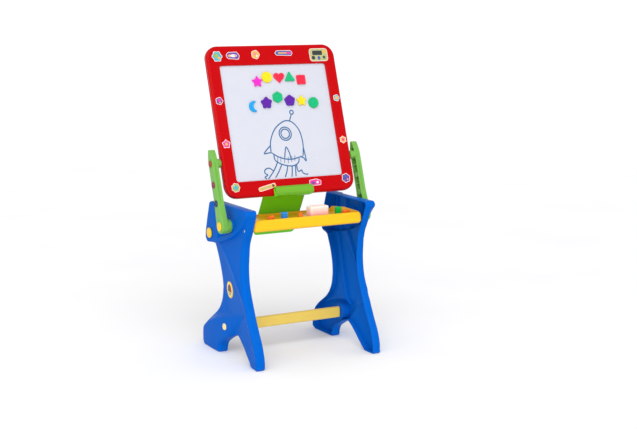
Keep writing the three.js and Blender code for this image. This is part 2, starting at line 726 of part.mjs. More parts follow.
function addCrossParts() {
  const bar = roundedRect(BAR.depth, BAR.height, 6, BAR.z - BAR.height / 2);
  const barPlate = sidePlate(bar, 1, -LEG_INNER + GAP, LEG_INNER - GAP, 4).translate(0, BAR.y, 0);
  put(easel, 'crossbar', barPlate, plastic(COLOURS.paleYellow, 0.5));
  const rod = sideRound(1, -HOUSING_OUTER + GAP, HOUSING_OUTER - GAP, ROD.y, ROD.z, ROD.radius);
  put(easel, 'rear_rod', rod, metal());
}

// the stay turns on the rear rod: a sleeve and a plate that leans forward behind the board's lower edge
function addStay() {
  const stay = new THREE.Group();
  stay.position.set(0, ROD.y, ROD.z);
  stay.rotation.x = STAY.lean;
  easel.add(stay);
  const face = new THREE.Shape();
  const half = STAY.width / 2;
  const corner = 10;
  face.absarc(half - corner, -STAY.down + corner, corner, -Math.PI / 2, 0);
  face.absarc(half - 6, STAY.up - 6, 6, 0, Math.PI / 2);
  face.absarc(-half + 6, STAY.up - 6, 6, Math.PI / 2, Math.PI);
  face.absarc(-half + corner, -STAY.down + corner, corner, Math.PI, 1.5 * Math.PI);
  const upright = new THREE.Matrix4().makeBasis(
    new THREE.Vector3(1, 0, 0), new THREE.Vector3(0, 0, 1), new THREE.Vector3(0, -1, 0),
  );
  let plate = solid(extruded(face, STAY.thick, 4).applyMatrix4(upright).translate(0, STAY.thick / 2, 0));
  plate = plate.add(solid(sideRound(1, -half, half, 0, 0, ROD.radius + 4, 8)));
  for (const x of [-half + 12, 0, half - 12]) {
    plate = plate.add(solid(box(x - 1.5, x + 1.5, 0, 9, 2, STAY.up - 18)));
  }
  plate = plate.subtract(solid(sideRound(1, -half - 1, half + 1, 0, 0, ROD.radius + 0.5, 8)));
  put(stay, 'stay_plate', geometryOf(plate), plastic(COLOURS.green));
}

addLegs();
addArms();
addBoard();
addTray();
addCrossParts();
addStay();

export default easel;
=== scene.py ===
"""The looks of a folding kids easel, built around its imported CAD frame.

Lengths in the shape code are millimetres in a plan of the piece's own: a leg's plan is (back, up), an arm's is
(across, along), the board's is (right, up the board), each with a height out of the plan. A placing function
turns plan and height into the frame's metres.
"""

import json
import math

import bmesh
import bpy
import numpy as np
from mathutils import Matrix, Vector
from mathutils.geometry import delaunay_2d_cdt
from mathutils.kdtree import KDTree


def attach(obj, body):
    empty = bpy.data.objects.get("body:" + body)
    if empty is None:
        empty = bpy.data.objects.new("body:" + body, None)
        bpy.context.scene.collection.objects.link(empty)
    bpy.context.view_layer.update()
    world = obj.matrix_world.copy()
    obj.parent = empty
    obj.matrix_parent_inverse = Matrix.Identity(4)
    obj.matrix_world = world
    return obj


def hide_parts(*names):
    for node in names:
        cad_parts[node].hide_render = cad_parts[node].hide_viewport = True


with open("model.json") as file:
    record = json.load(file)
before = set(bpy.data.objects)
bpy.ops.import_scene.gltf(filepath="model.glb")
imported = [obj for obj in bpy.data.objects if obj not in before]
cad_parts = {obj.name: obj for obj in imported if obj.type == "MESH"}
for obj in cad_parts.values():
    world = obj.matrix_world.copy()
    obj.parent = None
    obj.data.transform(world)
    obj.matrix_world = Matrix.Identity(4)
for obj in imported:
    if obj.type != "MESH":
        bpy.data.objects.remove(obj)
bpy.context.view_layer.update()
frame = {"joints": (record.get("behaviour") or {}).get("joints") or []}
MM = 0.001
JOINTS = {joint["name"]: joint for joint in frame["joints"]}
SIDES = {"left": -1, "right": 1}


# ---------- lines in a plan ----------

def spline(points, per_span=6):
    """A smooth open line through the points."""
    p = np.array([points[0]] + list(points) + [points[-1]], float)
    line = []
    for i in range(1, len(p) - 2):
        for t in np.arange(per_span) / per_span:
            line.append(0.5 * (2 * p[i] + (p[i + 1] - p[i - 1]) * t
                               + (2 * p[i - 1] - 5 * p[i] + 4 * p[i + 1] - p[i + 2]) * t ** 2
                               + (3 * p[i] - p[i - 1] - 3 * p[i + 1] + p[i + 2]) * t ** 3))
    line.append(p[-2])
    return np.array(line)


def arc(x, y, radius, start, stop, count=12, tall=None):
    """Points on a circle, or on an ellipse whose other radius is tall, between two angles in degrees."""
    angles = np.radians(np.linspace(start, stop, count))
    return np.c_[x + radius * np.cos(angles), y + (tall or radius) * np.sin(angles)]


def circle(x, y, radius, count=32, tall=None):
    return arc(x, y, radius, 0, 360, count + 1, tall)[:-1]


def rounded_rect(width, height, radius, x=0.0, y=0.0, corner=8, side=1):
    """A closed loop round (x, y), the middle. Each side is cut into side stretches."""
    w, h = width / 2 - radius, height / 2 - radius
    corners = [arc(x + w, y - h, radius, -90, 0, corner), arc(x + w, y + h, radius, 0, 90, corner),
               arc(x - w, y + h, radius, 90, 180, corner), arc(x - w, y - h, radius, 180, 270, corner)]
    loop = []
    for i, points in enumerate(corners):
        loop.extend(points)
        stop = corners[(i + 1) % 4][0]
        for t in np.arange(1, side) / side:
            loop.append(points[-1] * (1 - t) + stop * t)
    return np.array(loop)


def divided(loop, step):
    """The closed loop with its long stretches cut into pieces of about step, without repeated points."""
    points = []
    for a, b in zip(loop, np.roll(loop, -1, axis=0)):
        length = math.hypot(*(b - a))
        if length > step * 0.15:
            count = max(1, round(length / step))
            points.extend(a + (b - a) * t for t in np.arange(count) / count)
    return np.array(points)


def normals(line, closed=True):
    """The unit vectors to the left of the line at its points: inwards, on a loop that runs anticlockwise."""
    if closed:
        along = np.roll(line, -1, axis=0) - np.roll(line, 1, axis=0)
    else:
        along = np.gradient(line, axis=0)
    along /= np.maximum(np.linalg.norm(along, axis=1, keepdims=True), 1e-9)
    return np.c_[-along[:, 1], along[:, 0]]


def reach(points, line, closed=False):
    """Each point's distance to the line, positive to its left."""
    start = line if closed else line[:-1]
    stop = np.roll(line, -1, axis=0) if closed else line[1:]
    along = stop - start
    best = np.full(len(points), np.inf)
    side = np.ones(len(points))
    for a, d in zip(start, along):
        t = np.clip(((points - a) @ d) / max(d @ d, 1e-12), 0, 1)
        off = points - a - t[:, None] * d
        far = np.hypot(off[:, 0], off[:, 1])
        nearer = far < best - 1e-9
        best[nearer] = far[nearer]
        turn = d[0] * (points[:, 1] - a[1]) - d[1] * (points[:, 0] - a[0])
        side[nearer] = np.where(turn[nearer] >= 0, 1, -1)
    return best * side


def within(points, loop):
    """Which points lie inside the loop."""
    odd = np.zeros(len(points), bool)
    x, y = points[:, 0], points[:, 1]
    for (x0, y0), (x1, y1) in zip(loop, np.roll(loop, -1, axis=0)):
        if y0 != y1:
            crosses = ((y0 > y) != (y1 > y)) & (x < (x1 - x0) * (y - y0) / (y1 - y0) + x0)
            odd ^= crosses
    return odd


def off_edge(points, loop):
    """Each point's distance to the closed loop, on either side of it."""
    return np.abs(reach(points, loop, True))


def kept(rows, loop, margin):
    """The points of each row that lie inside the loop and farther from it than margin."""
    return [row[within(row, loop) & (off_edge(row, loop) > margin)] for row in rows]


def raised(loop, height):
    """A plan loop's points, all at one height."""
    return np.c_[loop, np.full(len(loop), height)]


def ease(t):
    """Smoothly from 0 at t = 0 to 1 at t = 1."""
    t = np.clip(t, 0, 1)
    return t * t * (3 - 2 * t)


def blend(first, second, share):
    """first where share is 0, second where it is 1."""
    return first * (1 - share) + second * share


def rounding(distance, radius):
    """How far a rounded edge has fallen, at that distance in from it."""
    near = np.clip(radius - distance, 0, radius)
    return radius - np.sqrt(np.maximum(radius ** 2 - near ** 2, 0))


ROUND_STEPS = (0.035, 0.14, 0.3, 0.5, 0.74, 1.0)  # rings of points that follow a rounded edge, in radii


# ---------- solids ----------

def triangulated(loop, seeds, spacing):
    """The loop's inside as (points, triangles, each loop point's number). seeds are rows of points it uses."""
    low, high = loop.min(0), loop.max(0)
    grid = []
    if spacing:
        for row, y in enumerate(np.arange(low[1], high[1], spacing * 0.866)):
            shift = spacing / 2 * (row % 2)
            grid.extend((x, y) for x in np.arange(low[0] + shift, high[0], spacing))
        fixed = np.vstack([loop, *seeds])
        tree = KDTree(len(fixed))
        for i, (x, y) in enumerate(fixed):
            tree.insert((x, y, 0), i)
        tree.balance()
        grid = [g for g in grid if tree.find((g[0], g[1], 0))[2] > spacing * 0.6]
    inner = np.vstack([*seeds, np.array(grid, float).reshape(-1, 2)])
    inner = kept([inner], loop, 0.05)[0]
    points = [Vector(p) for p in np.vstack([loop, inner])]
    found, _, triangles, origin, _, _ = delaunay_2d_cdt(points, [], [list(range(len(loop)))], 1, 1e-4)
    number = {}
    for i, names in enumerate(origin):
        for name in names:
            number[name] = i
    return np.array([tuple(p) for p in found]), triangles, [number[i] for i in range(len(loop))]


def edge_rings(loop, offsets):
    """Points on rings at those distances in from the loop, where the rings don't run into it elsewhere."""
    inwards = normals(loop)
    return [kept([loop + inwards * distance], loop, distance * 0.97)[0] for distance in offsets]


def beside(line, offsets, loop, step=3.0):
    """Points at those distances to the left of an open line, inside the loop."""
    points = []
    for a, b in zip(line[:-1], line[1:]):
        count = max(1, round(math.hypot(*(b - a)) / step))
        points.extend(a + (b - a) * t for t in np.arange(count) / count)
    points = np.array(points + [line[-1]])
    left = normals(points, False)
    return kept([points + left * distance for distance in offsets], loop, 1.0)


def relief(loop, top, bottom, place, step=4.0, top_seeds=(), bottom_seeds=(), edge=0.0, walls=None,
           spacing=None):
    """A closed solid over a loop. top and bottom give the heights over the plan. walls gives extra rows of the
    side wall, as (share of the way down, distance in), and a function that scales each point's distance."""
    loop = divided(loop, step)
    rings = edge_rings(loop, [edge * s for s in ROUND_STEPS]) if edge else []
    upper, upper_faces, upper_rim = triangulated(loop, [*rings, *top_seeds], spacing)
    lower, lower_faces, lower_rim = triangulated(loop, [*rings, *bottom_seeds], spacing)
    rim_top, rim_bottom = top(loop), bottom(loop)
    verts = [np.c_[upper, top(upper)], np.c_[lower, bottom(lower)]]
    verts[0][upper_rim, 2] = rim_top
    verts[1][lower_rim, 2] = rim_bottom
    faces = [tuple(f) for f in upper_faces]
    faces += [tuple(len(upper) + i for i in reversed(f)) for f in lower_faces]
    rows = [list(upper_rim)]
    base = len(upper) + len(lower)
    rows_wanted, scale = walls or ((), None)
    inwards = normals(loop)
    for share, distance in rows_wanted:
        moved = loop + inwards * (distance * scale(loop))[:, None]
        verts.append(np.c_[moved, rim_top + (rim_bottom - rim_top) * share])
        rows.append(list(range(base, base + len(loop))))
        base += len(loop)
    rows.append([len(upper) + i for i in lower_rim])
    for high, low in zip(rows[:-1], rows[1:]):
        for i in range(len(loop)):
            j = (i + 1) % len(loop)
            faces.append((high[j], high[i], low[i], low[j]))
    verts = np.vstack(verts)
    return place(verts), faces


def plate(loop, low, high, place, edge=1.0, step=3.0, spacing=None, crown=0.0, back_edge=None):
    """A slab over a loop, with rounded edges and, if wanted, a top that swells towards its middle."""
    fine = divided(loop, step)
    back = edge if back_edge is None else back_edge

    def top(p):
        inside = off_edge(p, fine)
        return high - rounding(inside, edge) + crown * ease(inside / 12)

    def bottom(p):
        return low + rounding(off_edge(p, fine), back)

    spacing = spacing or (step * 3 if crown else 0)
    return relief(fine, top, bottom, place, step, edge=max(edge, back), spacing=spacing)


def loft(rings, closed_path=False, caps=True):
    """A skin over closed rings of points, all with the same count, in metres."""
    count = len(rings[0])
    verts = np.vstack(rings)
    faces = []
    for r in range(len(rings) if closed_path else len(rings) - 1):
        a, b = r * count, (r + 1) % len(rings) * count
        for i in range(count):
            j = (i + 1) % count
            faces.append((a + i, a + j, b + j, b + i))
    if caps and not closed_path:
        faces.append(tuple(reversed(range(count))))
        faces.append(tuple(range(len(verts) - count, len(verts))))
    return verts, faces


def lathe(profile, place, x=0.0, y=0.0, count=32):
    """A round solid about a height axis over (x, y). profile is (radius, height) from one end to the other."""
    rings = []
    for radius, height in profile:
        rings.append(place(raised(circle(x, y, max(radius, 0.02), count), height)))
    return loft(rings)


def tube(line, radius, squash, up, count=8):
    """A round or flattened tube along a line of points in metres, thinner at its ends and squashed along up."""
    line = np.array(line, float)
    along = np.gradient(line, axis=0)
    along /= np.linalg.norm(along, axis=1, keepdims=True)
    angles = np.linspace(0, 2 * math.pi, count, endpoint=False)
    rings = []
    for i, (point, direction) in enumerate(zip(line, along)):
        across = np.cross(up, direction)
        across /= max(np.linalg.norm(across), 1e-9)
        over = np.cross(direction, across)
        size = radius * (0.55 if i in (0, len(line) - 1) else 1.0)
        ring = np.cos(angles)[:, None] * across + squash * np.sin(angles)[:, None] * over
        rings.append(point + size * ring)
    return loft(rings)


def joined(parts):
    """Several solids as one list of points and faces."""
    verts, faces, base = [], [], 0
    for part_verts, part_faces in parts:
        verts.append(part_verts)
        faces += [tuple(base + i for i in f) for f in part_faces]
        base += len(part_verts)
    return np.vstack(verts), faces


# ---------- places ----------

def side_place(side):
    """Plan (back, up) and height out from the middle of the easel, on a leg."""
    return lambda p: np.c_[side * p[:, 2], p[:, 0], p[:, 1]] * MM


HUB = Vector(JOINTS["left_arm_swing"]["pos_m"]) / MM
PIVOT = Vector(JOINTS["board_tilt"]["pos_m"]) / MM
ARM_LENGTH = math.hypot(PIVOT.y - HUB.y, PIVOT.z - HUB.z)
LEAN = math.atan2(PIVOT.y - HUB.y, PIVOT.z - HUB.z)
SIN, COS = math.sin(LEAN), math.cos(LEAN)
BOARD_THICK = 22.0
PIVOT_UP_BOARD = 107.0
BOARD_BACK = PIVOT.y - PIVOT_UP_BOARD * SIN - BOARD_THICK / 2 * COS
BOARD_UP = PIVOT.z - PIVOT_UP_BOARD * COS + BOARD_THICK / 2 * SIN


def arm_place(side):
    """Plan (across, along the arm from its hub) and height out from the middle of the easel."""
    def place(p):
        back = HUB.y + p[:, 0] * COS + p[:, 1] * SIN
        up = HUB.z - p[:, 0] * SIN + p[:, 1] * COS
        return np.c_[side * p[:, 2], back, up] * MM
    return place


def board_place(p):
    """Plan (right, up the board) and height out of the writing face."""
    back = BOARD_BACK + p[:, 1] * SIN - p[:, 2] * COS
    up = BOARD_UP + p[:, 1] * COS + p[:, 2] * SIN
    return np.c_[p[:, 0], back, up] * MM


def floor_place(p):
    """Plan (right, back) and height above the floor."""
    return p * MM


def across_place(p):
    """Plan (back, up) and height to the right."""
    return np.c_[p[:, 2], p[:, 0], p[:, 1]] * MM


def edge_place(p):
    """Plan (out of the writing face, up the board) and height to the right."""
    return board_place(np.c_[p[:, 2], p[:, 1], p[:, 0]])


# ---------- materials ----------

def linear(red, green, blue):
    """A colour as a painter names it, 0 to 255, in the renderer's linear light."""
    def channel(v):
        v /= 255
        return v / 12.92 if v <= 0.04045 else ((v + 0.055) / 1.055) ** 2.4
    return (channel(red), channel(green), channel(blue), 1.0)


class Nodes:
    """A new material's node tree, with short ways to add what every material here uses."""

    def __init__(self, name):
        self.material = bpy.data.materials.new(name)
        self.material.use_nodes = True
        self.tree = self.material.node_tree
        self.shader = self.tree.nodes["Principled BSDF"]
        self.place = self.add("ShaderNodeTexCoord").outputs["Object"]

    def add(self, kind, **settings):
        node = self.tree.nodes.new(kind)
        for key, value in settings.items():
            setattr(node, key, value)
        return node

    def link(self, source, target):
        self.tree.links.new(source, target)

    def set(self, **values):
        """Gives each shader socket named a value that is the same all over."""
        for name, value in values.items():
            self.shader.inputs[name.replace("_", " ")].default_value = value

    def vary(self, **sources):
        """Links each shader socket named to a source that varies over the surface."""
        for name, source in sources.items():
            self.link(source, self.shader.inputs[name.replace("_", " ")])

    def noise(self, scale, detail=3.0, stretch=(1, 1, 1), rough=0.5, distortion=0.0):
        mapping = self.add("ShaderNodeMapping")
        mapping.inputs["Scale"].default_value = stretch
        self.link(self.place, mapping.inputs["Vector"])
        noise = self.add("ShaderNodeTexNoise")
        noise.inputs["Scale"].default_value = scale
        noise.inputs["Detail"].default_value = detail
        noise.inputs["Roughness"].default_value = rough
        noise.inputs["Distortion"].default_value = distortion
        self.link(mapping.outputs["Vector"], noise.inputs["Vector"])
        return noise.outputs["Fac"]

    def ramp(self, source, *stops):
        """source turned into a grey or a colour; each stop is (position, value)."""
        ramp = self.add("ShaderNodeValToRGB")
        elements = ramp.color_ramp.elements
        while len(elements) < len(stops):
            elements.new(0.5)
        for element, (position, value) in zip(elements, stops):
            element.position = position
            element.color = value if isinstance(value, tuple) else (value, value, value, 1)
        self.link(source, ramp.inputs["Fac"])
        return ramp.outputs["Color"]

    def mix(self, share, first, second):
        mix = self.add("ShaderNodeMix", data_type="RGBA")
        for socket, value in (("Factor", share), ("A", first), ("B", second)):
            coloured = socket != "Factor"
            target = [s for s in mix.inputs if s.name == socket and (s.type == "RGBA") == coloured][0]
            if isinstance(value, bpy.types.NodeSocket):
                self.link(value, target)
            else:
                target.default_value = value
        return [s for s in mix.outputs if s.type == "RGBA"][0]

    def bump(self, source, strength, distance, under=None):
        bump = self.add("ShaderNodeBump")
        bump.inputs["Strength"].default_value = strength
        bump.inputs["Distance"].default_value = distance
        self.link(source, bump.inputs["Height"])
        if under is not None:
            self.link(under, bump.inputs["Normal"])
        return bump.outputs["Normal"]

    def worn_edges(self, low=0.52, high=0.62):
        """White where the surface is a sharp outer edge."""
        return self.ramp(self.add("ShaderNodeNewGeometry").outputs["Pointiness"], (low, 0.0), (high, 1.0))


def toned(colour, times, plus=0.0):
    """The colour made lighter or darker."""
    return tuple(min(1.0, c * times + plus) for c in colour[:3]) + (1,)


def plastic(name, colour, gloss=0.3, depth=0.05, light=1.14, dark=0.86, shine=0.3):
    """Moulded plastic: a little mottled, faintly grained, lighter on worn edges, with scuffs in its gloss."""
    n = Nodes(name)
    base = linear(*colour)
    mottle = n.ramp(n.noise(9.0, 4), (0.32, 0.0), (0.68, 1.0))
    body = n.mix(n.ramp(mottle, (0.0, 0.35), (1.0, 0.65)), toned(base, dark), toned(base, light, 0.006))
    body = n.mix(0.6, body, base)
    wear = n.ramp(n.worn_edges(), (0.0, 0.0), (1.0, 0.45))
    scratches = n.ramp(n.noise(60.0, 6, (1, 7, 1), 0.7, 0.6), (0.5, 0.0), (0.74, 1.0))
    scuffs = n.ramp(scratches, (0.0, 0.0), (1.0, 0.45))
    smooth = n.ramp(n.noise(14.0, 3), (0.25, gloss * 0.82), (0.75, gloss * 1.2))
    flow = n.bump(n.noise(26.0, 2), 0.25, 0.00025)
    grain = n.bump(n.noise(900.0, 2), 0.05, 0.00012, flow)
    n.vary(Base_Color=n.mix(wear, body, toned(base, 1.15, 0.015)),
           Roughness=n.mix(scuffs, smooth, (gloss + 0.2,) * 3 + (1,)),
           Normal=n.bump(scratches, 0.06, 0.0001, grain))
    tint = tuple(0.35 + 0.65 * c / max(base[:3]) for c in base[:3]) + (1,)
    n.set(IOR=1.49, Specular_IOR_Level=shine, Specular_Tint=tint, Subsurface_Weight=depth,
          Subsurface_Radius=(0.004, 0.002, 0.0015), Subsurface_Scale=1.0)
    return n.material


def steel(name):
    """Plated steel, brushed along its length, with darker flecks."""
    n = Nodes(name)
    brushed = n.noise(220.0, 4, (0.12, 1, 1), 0.6)
    n.vary(Base_Color=n.ramp(brushed, (0.3, linear(150, 154, 160)), (0.7, linear(214, 217, 222))),
           Roughness=n.ramp(brushed, (0.3, 0.42), (0.7, 0.24)), Normal=n.bump(brushed, 0.12, 0.0001))
    n.set(Metallic=1.0, IOR=2.5)
    return n.material


def dry_wipe(name):
    """A glossy writing surface with wiped smears and the ghosts of old ink."""
    n = Nodes(name)
    smears = n.ramp(n.noise(7.0, 5, (1, 0.3, 2.2), 0.6, 1.4), (0.42, 0.0), (0.72, 1.0))
    ghosts = n.ramp(n.noise(24.0, 6, (1, 1, 0.5), 0.65, 3.0), (0.6, 0.0), (0.7, 1.0))
    white = n.mix(n.ramp(smears, (0.0, 0.0), (1.0, 0.5)), linear(196, 198, 208), linear(191, 194, 206))
    n.vary(Base_Color=n.mix(n.ramp(ghosts, (0.0, 0.0), (1.0, 0.10)), white, linear(160, 176, 212)),
           Roughness=n.ramp(smears, (0.0, 0.16), (1.0, 0.3)), Normal=n.bump(n.noise(40.0, 2), 0.05, 0.0001))
    n.set(IOR=1.5)
    return n.material


def slate(name):
    """A chalk surface: dark, finely pitted and dusty with wiped chalk."""
    n = Nodes(name)
    dust = n.ramp(n.noise(7.0, 7, (1, 0.6, 1.6), 0.7, 0.3), (0.4, 0.0), (0.85, 1.0))
    share = n.ramp(dust, (0.0, 0.04), (1.0, 0.26))
    n.vary(Base_Color=n.mix(share, linear(38, 42, 46), linear(150, 156, 160)),
           Roughness=n.ramp(dust, (0.0, 0.72), (1.0, 0.92)), Normal=n.bump(n.noise(1400.0, 3), 0.35, 0.00015))
    return n.material


def chalk(name, colour):
    """Pressed powder: matt, pitted, paler where it has rubbed."""
    n = Nodes(name)
    pits = n.noise(260.0, 5, (1, 1, 1), 0.7)
    base = linear(*colour)
    n.vary(Base_Color=n.ramp(pits, (0.4, base), (0.85, toned(base, 1.1, 0.05))),
           Normal=n.bump(pits, 0.5, 0.0004))
    n.set(Roughness=0.9, IOR=1.4)
    return n.material


def soft_block(name, low, high):
    """A translucent rubbery block, paler towards its top and speckled inside."""
    n = Nodes(name)
    split = n.add("ShaderNodeSeparateXYZ")
    n.link(n.place, split.inputs["Vector"])
    height = n.add("ShaderNodeMapRange")
    height.inputs["From Min"].default_value = low
    height.inputs["From Max"].default_value = high
    n.link(split.outputs["Z"], height.inputs["Value"])
    colour = n.ramp(height.outputs["Result"], (0.1, linear(244, 166, 168)), (0.6, linear(246, 202, 194)),
                    (1.0, linear(250, 226, 216)))
    specks = n.ramp(n.noise(120.0, 4), (0.6, 0.0), (0.72, 0.35))
    n.vary(Base_Color=n.mix(specks, colour, linear(255, 246, 240)),
           Roughness=n.ramp(n.noise(30.0, 3), (0.3, 0.34), (0.7, 0.5)),
           Normal=n.bump(n.noise(300.0, 3), 0.15, 0.0002))
    n.set(IOR=1.45, Subsurface_Weight=0.5, Subsurface_Radius=(0.012, 0.006, 0.005), Subsurface_Scale=1.0)
    return n.material


def printed(name, colour, gloss=0.28):
    """Ink or vinyl on a picture sticker: even, with a faint dot screen and a soft sheen."""
    n = Nodes(name)
    base = linear(*colour)
    n.vary(Base_Color=n.ramp(n.noise(420.0, 2), (0.35, base), (0.65, toned(base, 0.85, 0.02))),
           Roughness=n.ramp(n.noise(50.0, 3), (0.3, gloss * 0.8), (0.7, gloss * 1.3)),
           Normal=n.bump(n.noise(200.0, 2), 0.08, 0.0001))
    return n.material


RED = plastic("red_plastic", (180, 0, 6), 0.22, 0.0, light=1.06, dark=0.94, shine=0.2)
BLUE = plastic("blue_plastic", (0, 90, 186), 0.3, 0.0, light=1.1, dark=0.9, shine=0.02)
LIME = plastic("lime_plastic", (106, 166, 46), 0.34, 0.1)
ARM_LIME = plastic("arm_plastic", (108, 166, 70), 0.3, 0.08, shine=0.5)
GREEN = plastic("green_plastic", (112, 212, 30), 0.36, 0.05)
YELLOW = plastic("yellow_plastic", (232, 180, 28), 0.3, 0.12)
BAR_YELLOW = plastic("bar_plastic", (222, 192, 92), 0.45, 0.1)
CAP_YELLOW = plastic("cap_plastic", (236, 196, 40), 0.28, 0.06)
CREAM = plastic("cream_plastic", (232, 216, 150), 0.3, 0.1)
MAROON = plastic("maroon_plastic", (140, 30, 16), 0.3)
DISC_RED = plastic("disc_red_plastic", (150, 50, 10), 0.3)
DISC_MAGENTA = plastic("disc_magenta_plastic", (130, 24, 70), 0.3)
DISC_NAVY = plastic("disc_navy_plastic", (6, 30, 84), 0.3)
STEEL = steel("plated_steel")
WHITE_BOARD = dry_wipe("dry_wipe")
CHALK_BOARD = slate("chalk_slate")
ORANGE_CHALK = chalk("orange_chalk", (240, 110, 6))
DARK_ORANGE_CHALK = chalk("dark_orange_chalk", (214, 66, 12))
BRICK_BLUE = plastic("brick_blue_plastic", (44, 140, 222), 0.2, 0.05)
BRICK_GREEN = plastic("brick_green_plastic", (10, 172, 62), 0.2, 0.05)
INK = printed("blue_ink", (20, 92, 142), 0.4)
MAGNET_COLOURS = {
    "magenta": (226, 44, 186), "yellow": (232, 208, 36), "red": (230, 40, 66), "green": (24, 172, 112),
    "blue": (24, 152, 214), "purple": (88, 34, 150),
}
MAGNET_PLASTICS = {name: plastic("magnet_" + name, colour, 0.22, 0.05)
                   for name, colour in MAGNET_COLOURS.items()}
STICKER_COLOURS = {
    "white": (244, 226, 222), "pink": (226, 40, 150), "purple": (96, 62, 150), "orange": (246, 170, 60),
    "teal": (70, 170, 190), "green": (150, 170, 84), "olive": (176, 178, 118), "dark": (30, 40, 44),
    "blue": (60, 84, 160), "rose": (232, 130, 140),
}
STICKER = {name: printed("sticker_" + name, colour) for name, colour in STICKER_COLOURS.items()}


# ---------- pieces ----------

def mesh_of(name, shape, weld=None):
    """A mesh from points in metres and faces, turned outwards. Points nearer than weld become one."""
    verts, faces = shape
    mesh = bpy.data.meshes.new(name)
    mesh.from_pydata([tuple(v) for v in verts], [], faces)
    bm = bmesh.new()
    bm.from_mesh(mesh)
    if weld:
        bmesh.ops.remove_doubles(bm, verts=bm.verts, dist=weld)
    bmesh.ops.recalc_face_normals(bm, faces=bm.faces)
    bm.to_mesh(mesh)
    bm.free()
    return mesh


def added(name, data):
    """A new object in the scene."""
    obj = bpy.data.objects.new(name, data)
    bpy.context.scene.collection.objects.link(obj)
    return obj


def piece(name, shape, material, body, slot, *replaced, sharp=38):
    """A mesh that rides on a body and stands for the CAD nodes named."""
    mesh = mesh_of(name, shape, 2e-6)
    mesh.shade_smooth()
    mesh.set_sharp_from_angle(angle=math.radians(sharp))
    mesh.materials.append(material)
    obj = added(name, mesh)
    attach(obj, body)
    if replaced:
        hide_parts(*replaced)
    return obj


def carved(obj, *cuts):
    """obj with each of the shapes cut out of it."""
    for shape in cuts:
        mesh = mesh_of("cut", shape)
        tool = added("cut", mesh)
        modifier = obj.modifiers.new("cut", "BOOLEAN")
        modifier.operation = "DIFFERENCE"
        modifier.solver = "EXACT"
        modifier.object = tool
        bpy.context.view_layer.update()
        result = bpy.data.meshes.new_from_object(obj.evaluated_get(bpy.context.evaluated_depsgraph_get()))
        obj.modifiers.clear()
        old = obj.data
        obj.data = result
        result.name = old.name
        bpy.data.meshes.remove(old)
        bpy.data.objects.remove(tool)
        bpy.data.meshes.remove(mesh)
    obj.data.shade_smooth()
    obj.data.set_sharp_from_angle(angle=math.radians(38))
    return obj


# ---------- legs ----------

LEG_INNER = 179.0
SHANK_OUTER = 205.0
HOUSING_OUTER = 219.0
DESK_HEIGHT = 450.0
RECESS_FLOOR = 209.5
HUB_PAD = 213.0
SKIN = 4.5
RIM = 3.6
FRONT_EDGE = [(-138, 446), (-140, 437), (-133, 421), (-117, 385), (-99, 349), (-93, 310), (-90, 273),
              (-96, 225), (-116, 174), (-143, 118), (-170, 71), (-184, 31), (-185, 4)]
ARCH = [(-132, 2), (-112, 16), (-73, 48), (-41, 68), (-15, 64), (22, 47), (50, 28), (59, 3)]
REAR_EDGE = [(185, 8), (177, 55), (150, 86), (94, 124), (67, 158), (58, 194), (59, 230), (71, 275), (91, 318)]
HOUSING_REAR = [(104, 324), (121, 329), (127, 349), (115, 396), (98, 446)]
LIP = [(112, 322), (101, 325), (54, 331), (0, 343), (-54, 363), (-99, 393), (-131, 424), (-150, 440)]
RIDGE = [(62, 345), (31, 318), (-2, 291), (-41, 252), (-68, 220), (-96, 191), (-121, 168), (-124, 142),
         (-140, 115), (-160, 86), (-176, 45), (-186, 0)]
LOBE_FRONT = [(30, 10), (-8, 52), (-41, 87), (-106, 136), (-150, 170)]
LOBE_TOP = [(185, 62), (133, 96), (78, 117), (17, 130), (-42, 141), (-99, 150)]
RECESS_REAR = [(60, 460), (58, 424), (50, 390), (40, 352), (34, 330)]
ROD_HOLE = (90, 357)
BAR_HOLE = (17, 87)
TRAY_SCREW = (-108, 391)
RIB_LINES = [
    [(58, 352), (-24, 118)], [(0, 352), (-112, 160)], [(10, 448), (10, 362)], [(-80, 448), (-80, 376)],
    [(80, 448), (72, 345)], [(20, 110), (150, 50)], [(-112, 160), (-165, 20)],
]
BOSSES = [(HUB.yz, 21, 192), (BAR_HOLE, 24, 180), (ROD_HOLE, 11, 180)]


def leg_loop():
    """The leg's outline, anticlockwise in (back, up)."""
    return np.vstack([[(-135, DESK_HEIGHT)], spline(FRONT_EDGE), [(-180, 0), (-136, 0)], spline(ARCH),
                      [(62, 0), (168, 0)], spline(REAR_EDGE), spline(HOUSING_REAR), [(94, DESK_HEIGHT)]])


